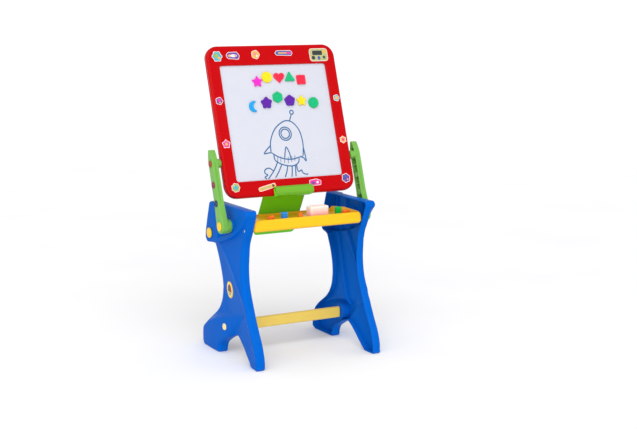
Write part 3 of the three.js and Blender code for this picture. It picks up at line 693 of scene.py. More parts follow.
def leg_surface(p):
    """How far out the leg's outer surface stands over its plan, before its edges are rounded."""
    back, up = p[:, 0], p[:, 1]
    before_ridge = -reach(p, spline(RIDGE, 4))
    soft = np.sqrt(before_ridge ** 2 + 4) - 2
    shank = SHANK_OUTER - np.where(before_ridge > 0, 0.025, 0.095) * np.minimum(soft, 100)
    shank += 1.6 * np.exp(-np.abs(soft) / 5) * ease((345 - up) / 60)
    behind = -reach(p, spline(LOBE_FRONT, 4))
    lobe_top = np.interp(-back, *zip(*((-y, z) for y, z in LOBE_TOP)))
    lobe = ease((behind + 2) / 15) * ease((lobe_top - up) / 18)
    shank = blend(shank, 210.8 - 0.0004 * ((back - 85) ** 2 + (up - 70) ** 2), lobe)
    above_lip = -reach(p, spline(LIP, 4))
    housing = 213 + (HOUSING_OUTER - 213) * ease((back + 125) / 110)
    housing += 1.2 * np.exp(-((above_lip - 7) / 4) ** 2) - 1.2
    from_hub = np.hypot(back - HUB.y, up - HUB.z)
    pad = 1 - ease((from_hub - 17) / 3)
    floor = blend(RECESS_FLOOR, HUB_PAD, pad)
    from_rear = reach(p, spline(RECESS_REAR, 4))
    scoop = ease((-from_rear - 0.5) / 5) * ease((above_lip - 13) / 12) * ease((back + 128) / 78)
    housing = blend(housing, floor, scoop)
    return blend(shank, housing, ease((above_lip + 1.0) / 5.0))


def leg_outside(p, loop):
    """The leg's outer surface with its edges rounded, less so round the housing and at the floor."""
    up = p[:, 1]
    edge = np.where(up > 335, 6.0, 9.0)
    edge = np.where(up < 12, 2.5 + 6.5 * ease(up / 12), edge)
    return leg_surface(p) - rounding(off_edge(p, loop), edge)


def leg_inside(p, loop):
    """How far out the leg's inner surface stands: a rim round a deep hollow that follows the outer surface."""
    from_edge = off_edge(p, loop)
    floor = leg_surface(p) - SKIN
    for line in RIB_LINES:
        floor = floor - 8 * (1 - ease((np.abs(reach(p, np.array(line, float))) - 1.3) / 1.6))
    inner = LEG_INNER + (floor - LEG_INNER) * ease((from_edge - RIM) / 1.6) + rounding(from_edge, 1.2)
    for (back, up), radius, level in BOSSES:
        from_boss = np.hypot(p[:, 0] - back, p[:, 1] - up)
        inner = blend(inner, level, 1 - ease((from_boss - radius) / 1.5))
    return inner


def on_leg(side):
    """A place like side_place, but with its heights above the leg's own surface."""
    place = side_place(side)
    return lambda p: place(np.c_[p[:, :2], leg_surface(p[:, :2]) + p[:, 2]])


def build_leg(name, side):
    loop = divided(leg_loop(), 3.2)
    outer = [row for line in (LIP, RIDGE, LOBE_FRONT)
             for row in beside(spline(line), (-9, -6, -4, -2, 0, 2, 5), loop, 4)]
    outer += beside(spline(LOBE_TOP), (-1, 2, 5, 9, 13, 17, 19), loop, 4)
    outer += beside(spline(RECESS_REAR), (-8, -6, -4, -2, 0, 1), loop, 3)
    outer += beside(spline(LIP), (-26, -23, -20, -16, -12), loop, 5)
    outer += [circle(HUB.y, HUB.z, radius, 44) for radius in (17, 18, 19, 20, 21.5)]
    inner = edge_rings(loop, (RIM, RIM + 0.8, RIM + 1.6))
    for line in RIB_LINES:
        inner += beside(np.array(line, float), (-2.9, -2.1, -1.3, 1.3, 2.1, 2.9), loop, 4)
    inner += outer
    for spot, radius, _ in BOSSES:
        inner += [circle(*spot, radius + extra, 40) for extra in (0, 0.75, 1.5)]
    place = side_place(side)
    shape = relief(loop, lambda p: leg_outside(p, loop), lambda p: leg_inside(p, loop), place, 3.2,
                   outer, kept(inner, loop, 1), edge=9.0, spacing=5.5)
    leg = piece(name + "_leg_shell", shape, BLUE, "stand", "blue_leg", name + "_leg", sharp=50)
    return carved(leg, *(lathe([(radius, 170), (radius, 230)], place, *spot)
                         for spot, radius in ((HUB.yz, 5.4), (ROD_HOLE, 5.4), (BAR_HOLE, 6.4))))


def build_badge(name, side):
    """An oval plate with a raised rim, a dark flat dome on a pale field with painted shade over the dome's
    right side, and two bars under it.
    """
    place = on_leg(side)
    x, y = -4.0, 201.0
    base = plate(circle(x, y, 22, 48, tall=25), -1.5, 1.6, place, 0.9, 2.5)
    rim = loft([place(raised(circle(x, y, 19.8 + a, 48, tall=22.8 + a), 1.5 + h)) for a, h in (
        (-1.2, -0.5), (-1.0, 0.4), (0, 0.7), (1.0, 0.4), (1.2, -0.5))], closed_path=True)
    piece(name + "_badge_plate", joined([base, rim]), CAP_YELLOW, "stand", "cap_yellow", name + "_badge")
    field = plate(circle(x, y, 18, 40, tall=21), 1.4, 1.9, place, 0.2, 2.5)
    piece(name + "_badge_field", field, CREAM, "stand", "cap_yellow")
    dome = np.vstack([arc(x - 1, y - 4, 14, 0, 180, 20, tall=21), [(x - 15, y - 6), (x + 13, y - 6)]])
    dome = softened(dome, 1.0)
    piece(name + "_badge_dome", plate(dome, 1.8, 2.5, place, 0.3, 2.0), MAROON, "stand", "cap_yellow")
    # Painted shade: a darker half-oval over the right of the flat dome, standing in for its shaded side.
    shade = np.vstack([arc(x + 4, y - 2, 8, 0, 180, 16, tall=14), [(x - 4, y - 4), (x + 12, y - 4)]])
    shade = softened(shade, 1.0)
    bars = [plate(rounded_rect(width, 2.4, 1.0, x, up), 1.8, 2.4, place, 0.2, 1.5)
            for up, width in ((y - 10, 22), (y - 14.5, 15))]
    # The two bars and the painted shade go into one dark piece.
    bars_and_painted_shade = joined([plate(shade, 2.4, 2.8, place, 0.2, 2.0)] + bars)
    piece(name + "_badge_bars_and_painted_shade", bars_and_painted_shade, STICKER["dark"], "stand", "cap_yellow")


def build_cap(name, place, x, y, low, high, radius, material, body, slot, node, dish=0.0):
    """A round press-in cap with a soft rim and, if wanted, a shallow dish in its face."""
    profile = [(radius * 0.6, low), (radius - 0.3, low), (radius, low + 0.4), (radius, high - 1.2),
               (radius - 0.35, high - 0.4), (radius - 1.2, high), (radius - 2.2, high - 0.1),
               (radius - 3.0, high - 0.2 - dish), (radius * 0.3, high - 0.1 - dish * 0.9),
               (0, high - dish * 0.8)]
    return piece(name, lathe([(0, low)] + profile, place, x, y, 40), material, body, slot, node)


def build_screw(name, place, x, y, low, high, tip, radius, body, node, turn=0.0):
    """A pan-head screw with a cross recess. Its head runs from low to high, its threaded shank ends at tip."""
    tall = high - low
    order = 1 if tall > 0 else -1
    core = radius * 0.36
    head = [(0, high), (radius * 0.5, high), (radius * 0.85, high - tall * 0.25), (radius, high - tall * 0.6),
            (radius, low)]
    threads = [(core * (1.12 if i % 2 else 0.9), low + (tip - low) * (i + 1) / 18) for i in range(16)]
    profile = head + threads + [(core * 0.4, tip), (0, tip)]
    screw = piece(name, lathe(profile[::order], place, x, y, 24), STEEL, body, "steel", node)
    cuts = []
    for angle in (turn, turn + 90):
        a = math.radians(angle)
        along = np.array([math.cos(a), math.sin(a)])
        off = np.array([-along[1], along[0]]) * radius * 0.1
        arm = along * radius * 0.6
        corners = np.array([arm + off, -arm + off, -arm - off, arm - off]) + (x, y)
        rings = [place(raised(corners, level)) for level in (high - tall * 0.55, high + tall)]
        cuts.append(loft(rings[::order]))
    return carved(screw, *cuts)


def build_stand():
    for name, side in SIDES.items():
        place = side_place(side)
        build_leg(name, side)
        build_badge(name, side)
        build_cap(name + "_rod_end", place, *ROD_HOLE, HOUSING_OUTER + 0.2, HOUSING_OUTER + 4, 15, CAP_YELLOW,
                  "stand", "cap_yellow", name + "_rod_cap", 0.8)
        build_cap(name + "_plug", on_leg(side), *BAR_HOLE, -1.5, 2.2, 10, CREAM, "stand", "cream_plug",
                  name + "_bar_plug", 0.5)
        build_screw(name + "_tray_fixing", on_leg(side), *TRAY_SCREW, -0.6, 1.2, -37, 4.5, "stand",
                    name + "_tray_screw", 20)
        bolt = lathe([(0, 185), (6.5, 185), (7.5, 186), (7.5, 190), (5, 190.2), (5, 245), (4, 246), (0, 246)],
                     place, HUB.y, HUB.z, 32)
        piece(name + "_hub_axle", bolt, STEEL, "stand", "steel", name + "_hub_bolt")


# ---------- arms ----------

ARM_INNER = 228.0
ARM_OUTER = 246.5
ARM_WALL = 3.0
HUB_RADIUS = 21.0
ARM_HALF = 14.5
TIP = 44.0
PIVOT_BOSS = 13.0
HUB_NOTCHES = (17.2, -17.2)
ARM_RIBS = (25, 45, 94, 152, 206)
DISCS = {"red": (183, DISC_RED, "disc_red"), "magenta": (121, DISC_MAGENTA, "disc_magenta"),
         "blue": (67, DISC_NAVY, "disc_navy")}


def arm_loop():
    """The arm's outline, anticlockwise in (across, along): a round hub, a straight bar and a pointed tip."""
    right = spline([(HUB_RADIUS, 0), (ARM_HALF + 4, 30), (ARM_HALF, 70), (ARM_HALF, 110),
                    (ARM_HALF, ARM_LENGTH), (ARM_HALF - 2.5, ARM_LENGTH + 18),
                    (5, ARM_LENGTH + TIP - 5), (0, ARM_LENGTH + TIP - 3)])
    left = spline([(-5, ARM_LENGTH + TIP - 5), (-ARM_HALF + 2, ARM_LENGTH + 14), (-ARM_HALF, ARM_LENGTH - 6),
                   (-ARM_HALF, 110), (-ARM_HALF, 70), (-ARM_HALF - 4, 30), (-HUB_RADIUS, 0)])
    return np.vstack([arc(0, 0, HUB_RADIUS, 180, 355, 24), right, left[:-1]])


def arm_inside(p, loop):
    """How far out the arm's inner surface stands: a ribbed hollow with bosses for hub, pin and discs."""
    from_edge = off_edge(p, loop)
    inner = ARM_INNER + 13.5 * ease((from_edge - ARM_WALL) / 1.2) + rounding(from_edge, 0.8)
    for up in ARM_RIBS:
        rib = 1 - ease((np.abs(p[:, 1] - up) - 1.3) / 1.2)
        inner = inner - (inner - ARM_INNER - 2) * rib * (from_edge > ARM_WALL)
    for up, _, _ in DISCS.values():
        inner = blend(inner, ARM_INNER + 1, 1 - ease((np.hypot(p[:, 0], p[:, 1] - up) - 8.5) / 1.5))
    for up, radius, level in ((0, HUB_RADIUS - 1.5, HUB_PAD + 0.3), (ARM_LENGTH, PIVOT_BOSS, 215.3)):
        out = np.hypot(p[:, 0], p[:, 1] - up)
        soft = rounding(np.maximum(radius - out, 0), 4.0)
        inner = blend(inner, level + soft, 1 - ease((out - radius) / 1.2))
    return inner


def arm_shape(place):
    """The arm's solid, with a groove along each edge between its hub and its tip."""
    loop = divided(arm_loop(), 2.4)

    def top(p):
        out = ARM_OUTER - rounding(off_edge(p, loop), 2.6)
        for notch in HUB_NOTCHES:
            near = np.hypot(p[:, 0] * 0.55, p[:, 1] - notch)
            out = out - 2.2 * (1 - ease((near - 1.2) / 1.0))
        return out

    def grooved(points):
        return ease((points[:, 1] - 62) / 10) * ease((ARM_LENGTH + 6 - points[:, 1]) / 8)

    under = edge_rings(loop, (ARM_WALL, ARM_WALL + 0.6, ARM_WALL + 1.2))
    rounds = [(0, HUB_RADIUS - 2.2), (ARM_LENGTH, PIVOT_BOSS)] + [(disc[0], 8.5) for disc in DISCS.values()]
    for up, radius in rounds:
        under += [circle(0, up, radius + extra, 40) for extra in (-4, -2.8, -1.8, -1, -0.4, 0, 0.6, 1.2)]
    for up in ARM_RIBS:
        under += beside(np.array([(-12.0, up), (12.0, up)]), (-2.5, -1.9, -1.3, 1.3, 1.9, 2.5), loop, 3)
    over = [circle(0, notch, radius, 20) for notch in HUB_NOTCHES for radius in (0.6, 1.2, 1.7, 2.3, 3.2, 4.4)]
    walls = ([(0.16, 0.0), (0.27, 0.0), (0.32, 0.5), (0.37, 2.0), (0.5, 2.3), (0.6, 2.0), (0.65, 0.5),
              (0.7, 0.0), (0.85, 0.0)], grooved)
    return relief(loop, top, lambda p: arm_inside(p, loop), place, 2.4, over, kept(under, loop, 0.3), edge=2.6,
                  walls=walls, spacing=4.5)


def build_arm(name, side):
    place = arm_place(side)
    body = name + "_arm"
    arm = piece(name + "_arm_shell", arm_shape(place), ARM_LIME, body, "arm_green", body, sharp=42)
    carved(arm, lathe([(5.4, 200), (5.4, 260)], place))
    for disc, (up, material, slot) in DISCS.items():
        build_cap(f"{name}_{disc}_button", place, 0, up, ARM_OUTER + 0.2, ARM_OUTER + 2.0, 10, material, body,
                  slot, f"{name}_{disc}_disc", 0.3)
    cap = build_cap(name + "_hub_button", place, 0, 0, ARM_OUTER + 0.2, ARM_OUTER + 2.9, 13, CAP_YELLOW, body,
                    "cap_yellow", name + "_hub_cap", 0.6)
    slot = rounded_rect(12, 2.2, 1.0)
    carved(cap, loft([place(raised(slot, height)) for height in (ARM_OUTER + 1.4, ARM_OUTER + 4)]))
    pin = lathe([(0, 192), (4.5, 192), (4.5, 237), (3.6, 238.3), (0, 238.3)], place, 0, ARM_LENGTH, 28)
    piece(name + "_pivot_pin", pin, STEEL, "board", "steel", name + "_board_pin")


# ---------- board ----------

BOARD_W, BOARD_H, BOARD_CORNER = 428.0, 453.0, 38.0
WINDOW_W, WINDOW_H, WINDOW_LOW, WINDOW_CORNER = 352.0, 346.0, 47.0, 8.0
REBATE = 6.5
PANEL_DEPTH = 5.0
PANEL_THICK = 3.5
WINDOW_MID = WINDOW_LOW + WINDOW_H / 2
INK_RADIUS = 1.9


OUTER_SECTION = [(0.5, BOARD_THICK / 2 - 0.1), (0.0, BOARD_THICK / 2 - 0.7), (0.0, 6.5), (0.35, 4.6),
                 (1.3, 2.8), (2.8, 1.4), (4.8, 0.5), (7.2, 0.08), (8.6, 0.0), (10.5, 0.0),
                 (12.0, 0.35), (16, 0.5)]
WINDOW_SECTION = [(12, 0.5), (5.2, 0.45), (3.8, 0.1), (2.6, 0.0), (1.2, 0.25), (0.3, 1.0), (0.0, 2.2),
                  (0.0, 4.6), (7.0, 4.7), (7.0, BOARD_THICK / 2 - 0.1)]


def build_frame_half(name, node, height_of):
    """Half of the frame: a rounded outer edge, a flat band with a soft dish and a rolled edge round the window.

    A section lists the distance in from the outer edge, or out from the window's, with the depth there."""
    rings = []
    for d, depth in OUTER_SECTION:
        ring = rounded_rect(BOARD_W - 2 * d, BOARD_H - 2 * d, max(BOARD_CORNER - d, 1), 0, BOARD_H / 2, 14, 22)
        rings.append(board_place(raised(ring, height_of(depth))))
    for d, depth in WINDOW_SECTION:
        corner = WINDOW_CORNER + d * 0.6
        ring = rounded_rect(WINDOW_W + 2 * d, WINDOW_H + 2 * d, corner, 0, WINDOW_MID, 14, 22)
        rings.append(board_place(raised(ring, height_of(depth))))
    return piece(name, loft(rings, closed_path=True), RED, "board", "red_frame", node, sharp=45)


def screw_places():
    """Where the frame's screws stand, as (right, up the board)."""
    x = BOARD_W / 2 - 19
    return [(side * x, up) for up in (35, 250, BOARD_H - 30) for side in (-1, 1)]


def build_panels():
    """The white panel at the front and the dark one at the back, each held in a rebate round the window."""
    held = REBATE - 0.6
    loop = rounded_rect(WINDOW_W + 2 * held, WINDOW_H + 2 * held, WINDOW_CORNER, 0, WINDOW_MID)
    for name, low, material, slot, node in (
            ("dry_wipe_panel", -PANEL_DEPTH - PANEL_THICK, WHITE_BOARD, "whiteboard", "whiteboard_panel"),
            ("slate_panel", -BOARD_THICK + PANEL_DEPTH, CHALK_BOARD, "chalkboard", "chalkboard_panel")):
        panel = plate(loop, low, low + PANEL_THICK, board_place, 0.5, 12, 40)
        piece(name, panel, material, "board", slot, node)


def ink_line(points):
    """A flat bead of ink on the white panel."""
    line = np.array(points, float)
    path = board_place(raised(line, -PANEL_DEPTH))
    return tube(path, INK_RADIUS * MM, 0.15, (0, -COS, SIN))


DOODLE = [
    [(-50, 128), (-46, 162), (-26, 198), (8, 220), (34, 216), (54, 190), (60, 150), (54, 112)],
    [(-50, 128), (-24, 112), (12, 104), (54, 112)],
    [(26, 219), (32, 231), (36, 240)],
    [(-47, 150), (-62, 138), (-73, 126), (-60, 127), (-50, 128)],
    [(59, 138), (61, 120), (62, 96), (55, 106), (48, 108)],
    [(-8, 109), (-4, 126), (2, 142), (10, 124), (12, 106)],
    [(-42, 122), (-40, 104), (-18, 90), (14, 84), (34, 92), (40, 106)],
    [(-34, 98), (-48, 76), (-66, 56), (-72, 50)],
    [(-20, 92), (-34, 70), (-48, 52)],
    [(-2, 86), (-8, 68), (-16, 52)],
    [(12, 84), (10, 68), (6, 51)],
    [(24, 88), (22, 70), (20, 52)],
    [(-50, 72), (-64, 82), (-78, 78), (-80, 68), (-72, 62), (-82, 56), (-76, 50)],
    [(28, 88), (28, 74), (32, 66), (42, 70), (44, 62), (56, 56), (62, 58)],
]
PORTHOLES = [circle(38, 246, 6, 14), circle(6, 182, 20, 22), circle(6, 182, 14, 20)]


def build_doodle():
    """A child's marker drawing: a rocket in plain lines."""
    parts = [ink_line(spline(line, 5)) for line in DOODLE]
    parts += [ink_line(spline(np.vstack([loop, loop[:1]]), 5)) for loop in PORTHOLES]
    parts += [ink_line([(x - 3, 92 + abs(x) * 0.25), (x, 112 + abs(x) * 0.12)])
              for x in (-30, -20, -8, 4, 16, 27)]
    piece("marker_drawing", joined(parts), INK, "board", "whiteboard")


def sticker(name, x, up, outline, colour, details=()):
    """A picture sticker on the frame: a white edge, a coloured field and plain shapes on it."""
    def layer(part, loop, low, high, tint, edge=0.05, step=2.5):
        shape = plate(loop, low, high, board_place, edge, step)
        piece(f"{name}_{part}", shape, STICKER[tint], "board", "red_frame")

    outer = np.array(outline, float) + (x, up)
    layer("edge", outer, 0.02, 0.3, "white", 0.12)
    layer("field", outer + normals(outer) * 1.5, 0.28, 0.42, colour)
    for i, (detail, tint) in enumerate(details):
        layer(f"shape_{i}", np.array(detail, float) + (x, up), 0.4, 0.55, tint, 0.05, 2.0)


def petals(radius, count, depth, turn=0.0):
    """A soft wavy loop with that many lobes."""
    a = np.radians(np.arange(0, 360, 6))
    r = radius * (1 - depth + depth * np.cos(count * (a - math.radians(turn))))
    return np.c_[r * np.cos(a), r * np.sin(a)]


def spikes(count, radius, inner, turn=90.0):
    """A star's or, with inner = cos(180/count), a regular polygon's loop."""
    a = np.radians(turn + np.arange(count * 2) * 180 / count)
    r = np.where(np.arange(count * 2) % 2 == 0, radius, radius * inner)
    return np.c_[r * np.cos(a), r * np.sin(a)]


def turned(loop, degrees):
    a = math.radians(degrees)
    return loop @ np.array([[math.cos(a), math.sin(a)], [-math.sin(a), math.cos(a)]])


def softened(loop, radius=2.0):
    """The loop with its corners rounded off."""
    fine = divided(np.array(loop, float), 1.2)
    for _ in range(int(radius * 3)):
        fine = (np.roll(fine, 1, axis=0) + 2 * fine + np.roll(fine, -1, axis=0)) / 4
    return divided(fine, 1.6)


def ball(x, y, radius, tall=None):
    return circle(x, y, radius, 22, tall)


def build_stickers():
    sticker("corner_sticker", -180, 421, petals(17, 6, 0.08), "teal",
            [(ball(-3, 2, 7), "green"), (ball(6, -5, 4), "orange")])
    shuttle = softened([(-17, -9), (17, -12), (22, 0), (14, 12), (-16, 11), (-23, 1)])
    sticker("shuttle_sticker", -129, 422, shuttle, "purple",
            [(ball(2, 0, 11, 4.5), "white"), (ball(8, 0, 3), "blue"),
             (spikes(3, 6, 0.5, 180) + (-12, 0), "orange")])
    sticker("moon_sticker", -55, 424, petals(14, 5, 0.05), "orange",
            [(ball(-2, 2, 5), "rose"), (ball(4, -4, 3), "white")])
    brush = softened([(-26, -7), (24, -9), (30, 0), (24, 8), (-24, 8), (-31, 0)])
    sticker("brush_sticker", 40, 427, brush, "blue",
            [(rounded_rect(30, 3.6, 1.6, -4, 0), "orange"), (ball(16, 0, 8, 4), "pink")])
    sticker("plaque_sticker", 158, 419, softened(rounded_rect(63, 40, 9), 2.5), "olive",
            [(rounded_rect(34, 14, 3, -4, 6), "dark"), (ball(-19, -9, 6), "dark"), (ball(0, -10, 5, 6), "blue"),
             (spikes(5, 7, 0.5) + (18, -8), "dark"), (ball(20, 9, 5), "orange")])
    sticker("left_high_sticker", -194, 288, petals(12, 5, 0.07), "purple",
            [(ball(0, 2, 5), "pink"), (ball(2, -5, 2.5), "orange")])
    sticker("left_low_sticker", -192, 160, softened(spikes(5, 15, 0.66)), "pink", [(ball(0, 0, 4.5), "orange")])
    sticker("low_left_sticker", -183, 31, petals(14, 7, 0.06), "green",
            [(ball(0, 0, 6), "teal"), (ball(-4, 5, 2), "white")])
    sticker("pencil_sticker", -82, 25, softened(turned(rounded_rect(58, 13, 5), 12), 1.0), "orange",
            [(turned(rounded_rect(36, 6, 1) + (-4, 0), 12), "olive"),
             (turned(spikes(3, 6, 0.5, 0) + (20, 0), 12), "dark")])
    sticker("low_mid_sticker", 77, 28, softened([(-20, -9), (20, -8), (22, 6), (6, 12), (-18, 9)]), "pink",
            [(ball(-6, 0, 6, 4), "purple"), (ball(9, 1, 4), "white")])
    sticker("low_right_sticker", 185, 35, petals(15, 6, 0.07, 20), "purple",
            [(ball(-3, 2, 6), "blue"), (ball(5, -4, 3), "rose")])
    sticker("right_high_sticker", 196, 283, petals(11, 5, 0.06), "teal", [(ball(0, 0, 5), "orange")])
    sticker("right_low_sticker", 196, 153, softened(spikes(6, 13, 0.7)), "orange", [(ball(0, 0, 4.5), "pink")])


# ---------- magnets ----------

def heart(radius):
    t = np.radians(np.arange(0, 360, 7))
    up = 0.82 * np.cos(t) - 0.3 * np.cos(2 * t) - 0.12 * np.cos(3 * t) - 0.05 * np.cos(4 * t)
    return np.c_[radius * np.sin(t) ** 3, radius * up + radius * 0.1]


def moon(radius):
    outer = arc(0, 0, radius, 62, 298, 26)
    inner = arc(radius * 0.62, 0, radius * 0.82, 258, 102, 18)
    return np.vstack([outer, inner])


MAGNETS = [
    ("star_magenta", "magenta", softened(spikes(5, 19, 0.52)), -61, 342),
    ("disc_yellow", "yellow", circle(0, 0, 16.6, 40), -28, 355),
    ("heart_red", "red", softened(heart(18)), 13, 352),
    ("triangle_green", "green", softened(spikes(3, 20, 0.5)), 48, 351),
    ("square_red", "red", softened(turned(spikes(4, 20, 0.7072), 45)), 86, 344),
    ("moon_blue", "blue", softened(moon(16.6), 1.4), -83, 268),
    ("flower_purple", "purple", petals(18.3, 5, 0.12, 18), -41, 277),
    ("hexagon_green", "green", softened(spikes(6, 17.8, 0.866)), -2, 293),
    ("pentagon_purple", "purple", softened(spikes(5, 18.8, 0.809)), 37, 281),
    ("star_yellow", "yellow", softened(spikes(5, 19, 0.52)), 76, 279),
    ("disc_green", "green", circle(0, 0, 16.6, 40), 116, 272),
]


def build_magnets():
    """Plump plastic shapes with a sunk panel that follows each outline, each on a thin dark backing."""
    steps = (0.3, 0.8, 1.5, 2.2, 3.2, 4.0, 4.4, 4.8, 5.2, 7, 9.5, 10.7, 12)
    for name, colour, outline, x, up in MAGNETS:
        loop = divided(outline + (x, up), 1.3)

        def top(p, loop=loop):
            inside = off_edge(p, loop)
            panel = ease((inside - 4.0) / 1.2) * (1 - ease((inside - 9.5) / 2.5))
            return 1.3 - rounding(inside, 2.2) - 0.75 * panel

        def level(lift):
            return lambda p: np.full(len(p), -PANEL_DEPTH + lift)

        pillow = relief(loop, top, level(0.3), board_place, 1.3, edge_rings(loop, steps), spacing=3)
        backing = relief(loop, level(0.25), level(0.05), board_place, 1.3)
        piece(f"magnet_{name}_pillow", pillow, MAGNET_PLASTICS[colour], "board", "magnet_" + colour,
              "magnet_" + name, sharp=50)
        piece(f"magnet_{name}_backing", backing, STICKER["dark"], "board", "magnet_" + colour)


# ---------- clip ----------

CLIP_WIDTH = 126.0
HINGE = (7.5, 7.0)


def along_edge(profile, half_width, sides=9, edge=1.2):
    """A bar across the board with this section in (out, up), its ends rounded off a little."""
    fine = divided(np.array(profile, float), 1.2)
    inwards = normals(fine)
    ends = [(half_width - edge * (1 - share), fine + inwards * edge * share ** 2 * 0.6)
            for share in (1.0, 0.7, 0.3, 0.0)]
    rings = [raised(section, -x) for x, section in ends]
    rings += [raised(fine, x) for x in np.linspace(-half_width + edge * 2, half_width - edge * 2, sides)]
    rings += [raised(section, x) for x, section in reversed(ends)]
    return loft([edge_place(ring) for ring in rings])


def edge_lathe(profile, count=24):
    """A round solid about the clip's hinge line; profile is (radius, distance right)."""
    return lathe(profile, edge_place, *HINGE, count)


def knuckle(x, block):
    """A barrel round the hinge line and the block, a section in (out, up), that holds it."""
    barrel = [(1.7, x - 4), (3.6, x - 4), (4, x - 3.6), (4, x + 3.6), (3.6, x + 4), (1.7, x + 4)]
    return [edge_lathe(barrel), loft([edge_place(raised(block, at)) for at in (x - 3.8, x + 3.8)])]


def build_clip():
    back = BOARD_THICK - 4
    section = [(-back, -3.2), (2.2, -3.2), (2.6, -2.8), (2.6, 18.6), (2.2, 19), (0.2, 19), (0.2, -0.3),
               (-back, -0.3)]
    base = [along_edge(section, CLIP_WIDTH / 2)]
    outer = spline([(11.6, -2), (14.6, 4), (15, 12), (12.2, 20), (6, 25)], 7)
    inner = spline([(3.3, 22.6), (8, 18.6), (11.6, 11.4), (11.9, 5), (9.6, -0.8)])
    roll = [(4.6, 25.2), (3.4, 24.4)]
    jaw = [along_edge(np.vstack([outer, roll, inner]), CLIP_WIDTH / 2 - 0.5, 21)]
    for side in (-1, 1):
        base += knuckle(side * (CLIP_WIDTH / 2 - 10), [(1, 3), (7.5, 3.2), (7.5, 10.8), (1, 11)])
        jaw += knuckle(side * (CLIP_WIDTH / 2 - 20), [(7.5, 4.2), (12.6, 4.2), (12.6, 9.8), (7.5, 9.8)])
    piece("clip_plate", joined(base), GREEN, "board", "stay_green", "clip_base")
    piece("clip_lip", joined(jaw), LIME, "clip", "arm_green", "clip_jaw")
    half = CLIP_WIDTH / 2 - 2
    pin = [(0, -half), (1.1, -half), (1.5, -half + 0.5), (1.5, half - 0.5), (1.1, half), (0, half)]
    piece("clip_axle", edge_lathe(pin, 16), STEEL, "board", "steel", "clip_pin")
    turns, per_turn = 8, 20
    angle = np.arange(turns * per_turn + 1) / per_turn * 2 * math.pi
    across = np.linspace(-10.5, 10.5, len(angle))
    coil = np.c_[HINGE[0] + 2.7 * np.cos(angle), HINGE[1] + 2.7 * np.sin(angle), across]
    wire = tube(edge_place(coil), 0.6 * MM, 1.0, (1, 0, 0))
    piece("clip_coil", wire, STEEL, "board", "steel", "clip_spring")


def build_board():
    build_frame_half("frame_front", "board_frame_front", lambda depth: -depth)
    back = build_frame_half("frame_back", "board_frame_back", lambda depth: -BOARD_THICK + depth)
    well = [(4.4, -30), (4.4, -BOARD_THICK + 3)]
    carved(back, *(lathe(well, board_place, x, y, 24) for x, y in screw_places()))
    build_panels()
    build_doodle()
    build_stickers()
    build_magnets()
    build_clip()
    for i, (x, y) in enumerate(screw_places()):
        build_screw(f"back_screw_{i + 1}", board_place, x, y, -19.3, -21.4, -6, 4.0, "board",
                    f"frame_screw_{i + 1}", 25 * i)


# ---------- tray ----------

TRAY_END = 178.7
TRAY_FRONT = -121.0
TRAY_REAR = 56.0
TRAY_BOTTOM = 384.0
TRAY_FLOOR = 398.0
TRAY_LIP = 418.0
TRAY_REAR_TOP = 405.0
TRAY_SIDE_TOP = 418.0
TRAY_RIBS = (-90, 0, 90)
TRAY_CROSS_RIB = -30.0
BESIDE_RIB = (-2.4, -1.8, -1.2, 1.2, 1.8, 2.4)


def rounded_ends(x, low, high, low_radius, high_radius, low_count, high_count):
    """A closed loop that is even about its middle, with other corners at its low side than at its high one."""
    def corner(cx, cy, radius, start, count):
        return arc(cx, cy, radius, start, start + 90, count)

    return np.vstack([corner(-x + low_radius, low + low_radius, low_radius, 180, low_count),
                      corner(x - low_radius, low + low_radius, low_radius, 270, low_count),
                      corner(x - high_radius, high - high_radius, high_radius, 0, high_count),
                      corner(-x + high_radius, high - high_radius, high_radius, 90, high_count)])


def tray_loop(sides, front, rear, corner, rear_corner):
    """The tray's plan in (right, back), that far in from its ends, front and rear."""
    loop = rounded_ends(TRAY_END - sides, TRAY_FRONT + front, TRAY_REAR - rear, corner, rear_corner, 12, 8)
    return divided(loop, 3.0)


def tray_top(p, loop, well):
    """The height of the tray's upper side: a rolled lip at the front, low at the rear, a floor inside."""
    x, y = np.abs(p[:, 0]), p[:, 1]
    from_edge = off_edge(p, loop)
    inside = reach(p, well, True)
    front = 1 - ease((y - TRAY_FRONT - 6) / 14)
    side = np.interp(y, (TRAY_FRONT, TRAY_FRONT + 14, -16, TRAY_REAR),
                     (TRAY_LIP - 3, TRAY_LIP - 2, TRAY_SIDE_TOP, TRAY_SIDE_TOP - 7))
    rear = ease((y - TRAY_REAR + 6) / 3) * (1 - ease((x - TRAY_END + 10) / 6))
    rim = blend(blend(side, TRAY_REAR_TOP, rear), TRAY_LIP, front)
    rim -= rounding(TRAY_END - x, 13.0) * (1 - ease((y - TRAY_FRONT - 9) / 14))
    rim -= blend(rounding(from_edge, 1.4), rounding(from_edge, 6.5), front)
    outside = np.maximum(-inside, 0)
    rim -= blend(rounding(outside, 1.2), rounding(outside, 4.0), front)
    floor = TRAY_FLOOR + rounding(np.maximum(inside - 0.5, 0), 6.0)
    return blend(rim, floor, ease(inside / 0.5))


def tray_bottom(p, loop, hollow):
    """The height of the tray's underside: rounded under its front, hollow and ribbed inside."""
    x, y = np.abs(p[:, 0]), p[:, 1]
    from_edge = off_edge(p, loop)
    front = 1 - ease((y - TRAY_FRONT) / 20)
    low = TRAY_BOTTOM + rounding(from_edge, 1.5) * (1 - front) + rounding(from_edge, 9) * front
    low += rounding(TRAY_END - x, 9.0) * front
    share = ease(reach(p, hollow, True) / 1.5)
    for from_rib in [p[:, 0] - at for at in TRAY_RIBS] + [y - TRAY_CROSS_RIB]:
        share = share * (0.15 + 0.85 * ease((np.abs(from_rib) - 1.2) / 1.2))
    return blend(low, TRAY_FLOOR - 2.6, share)


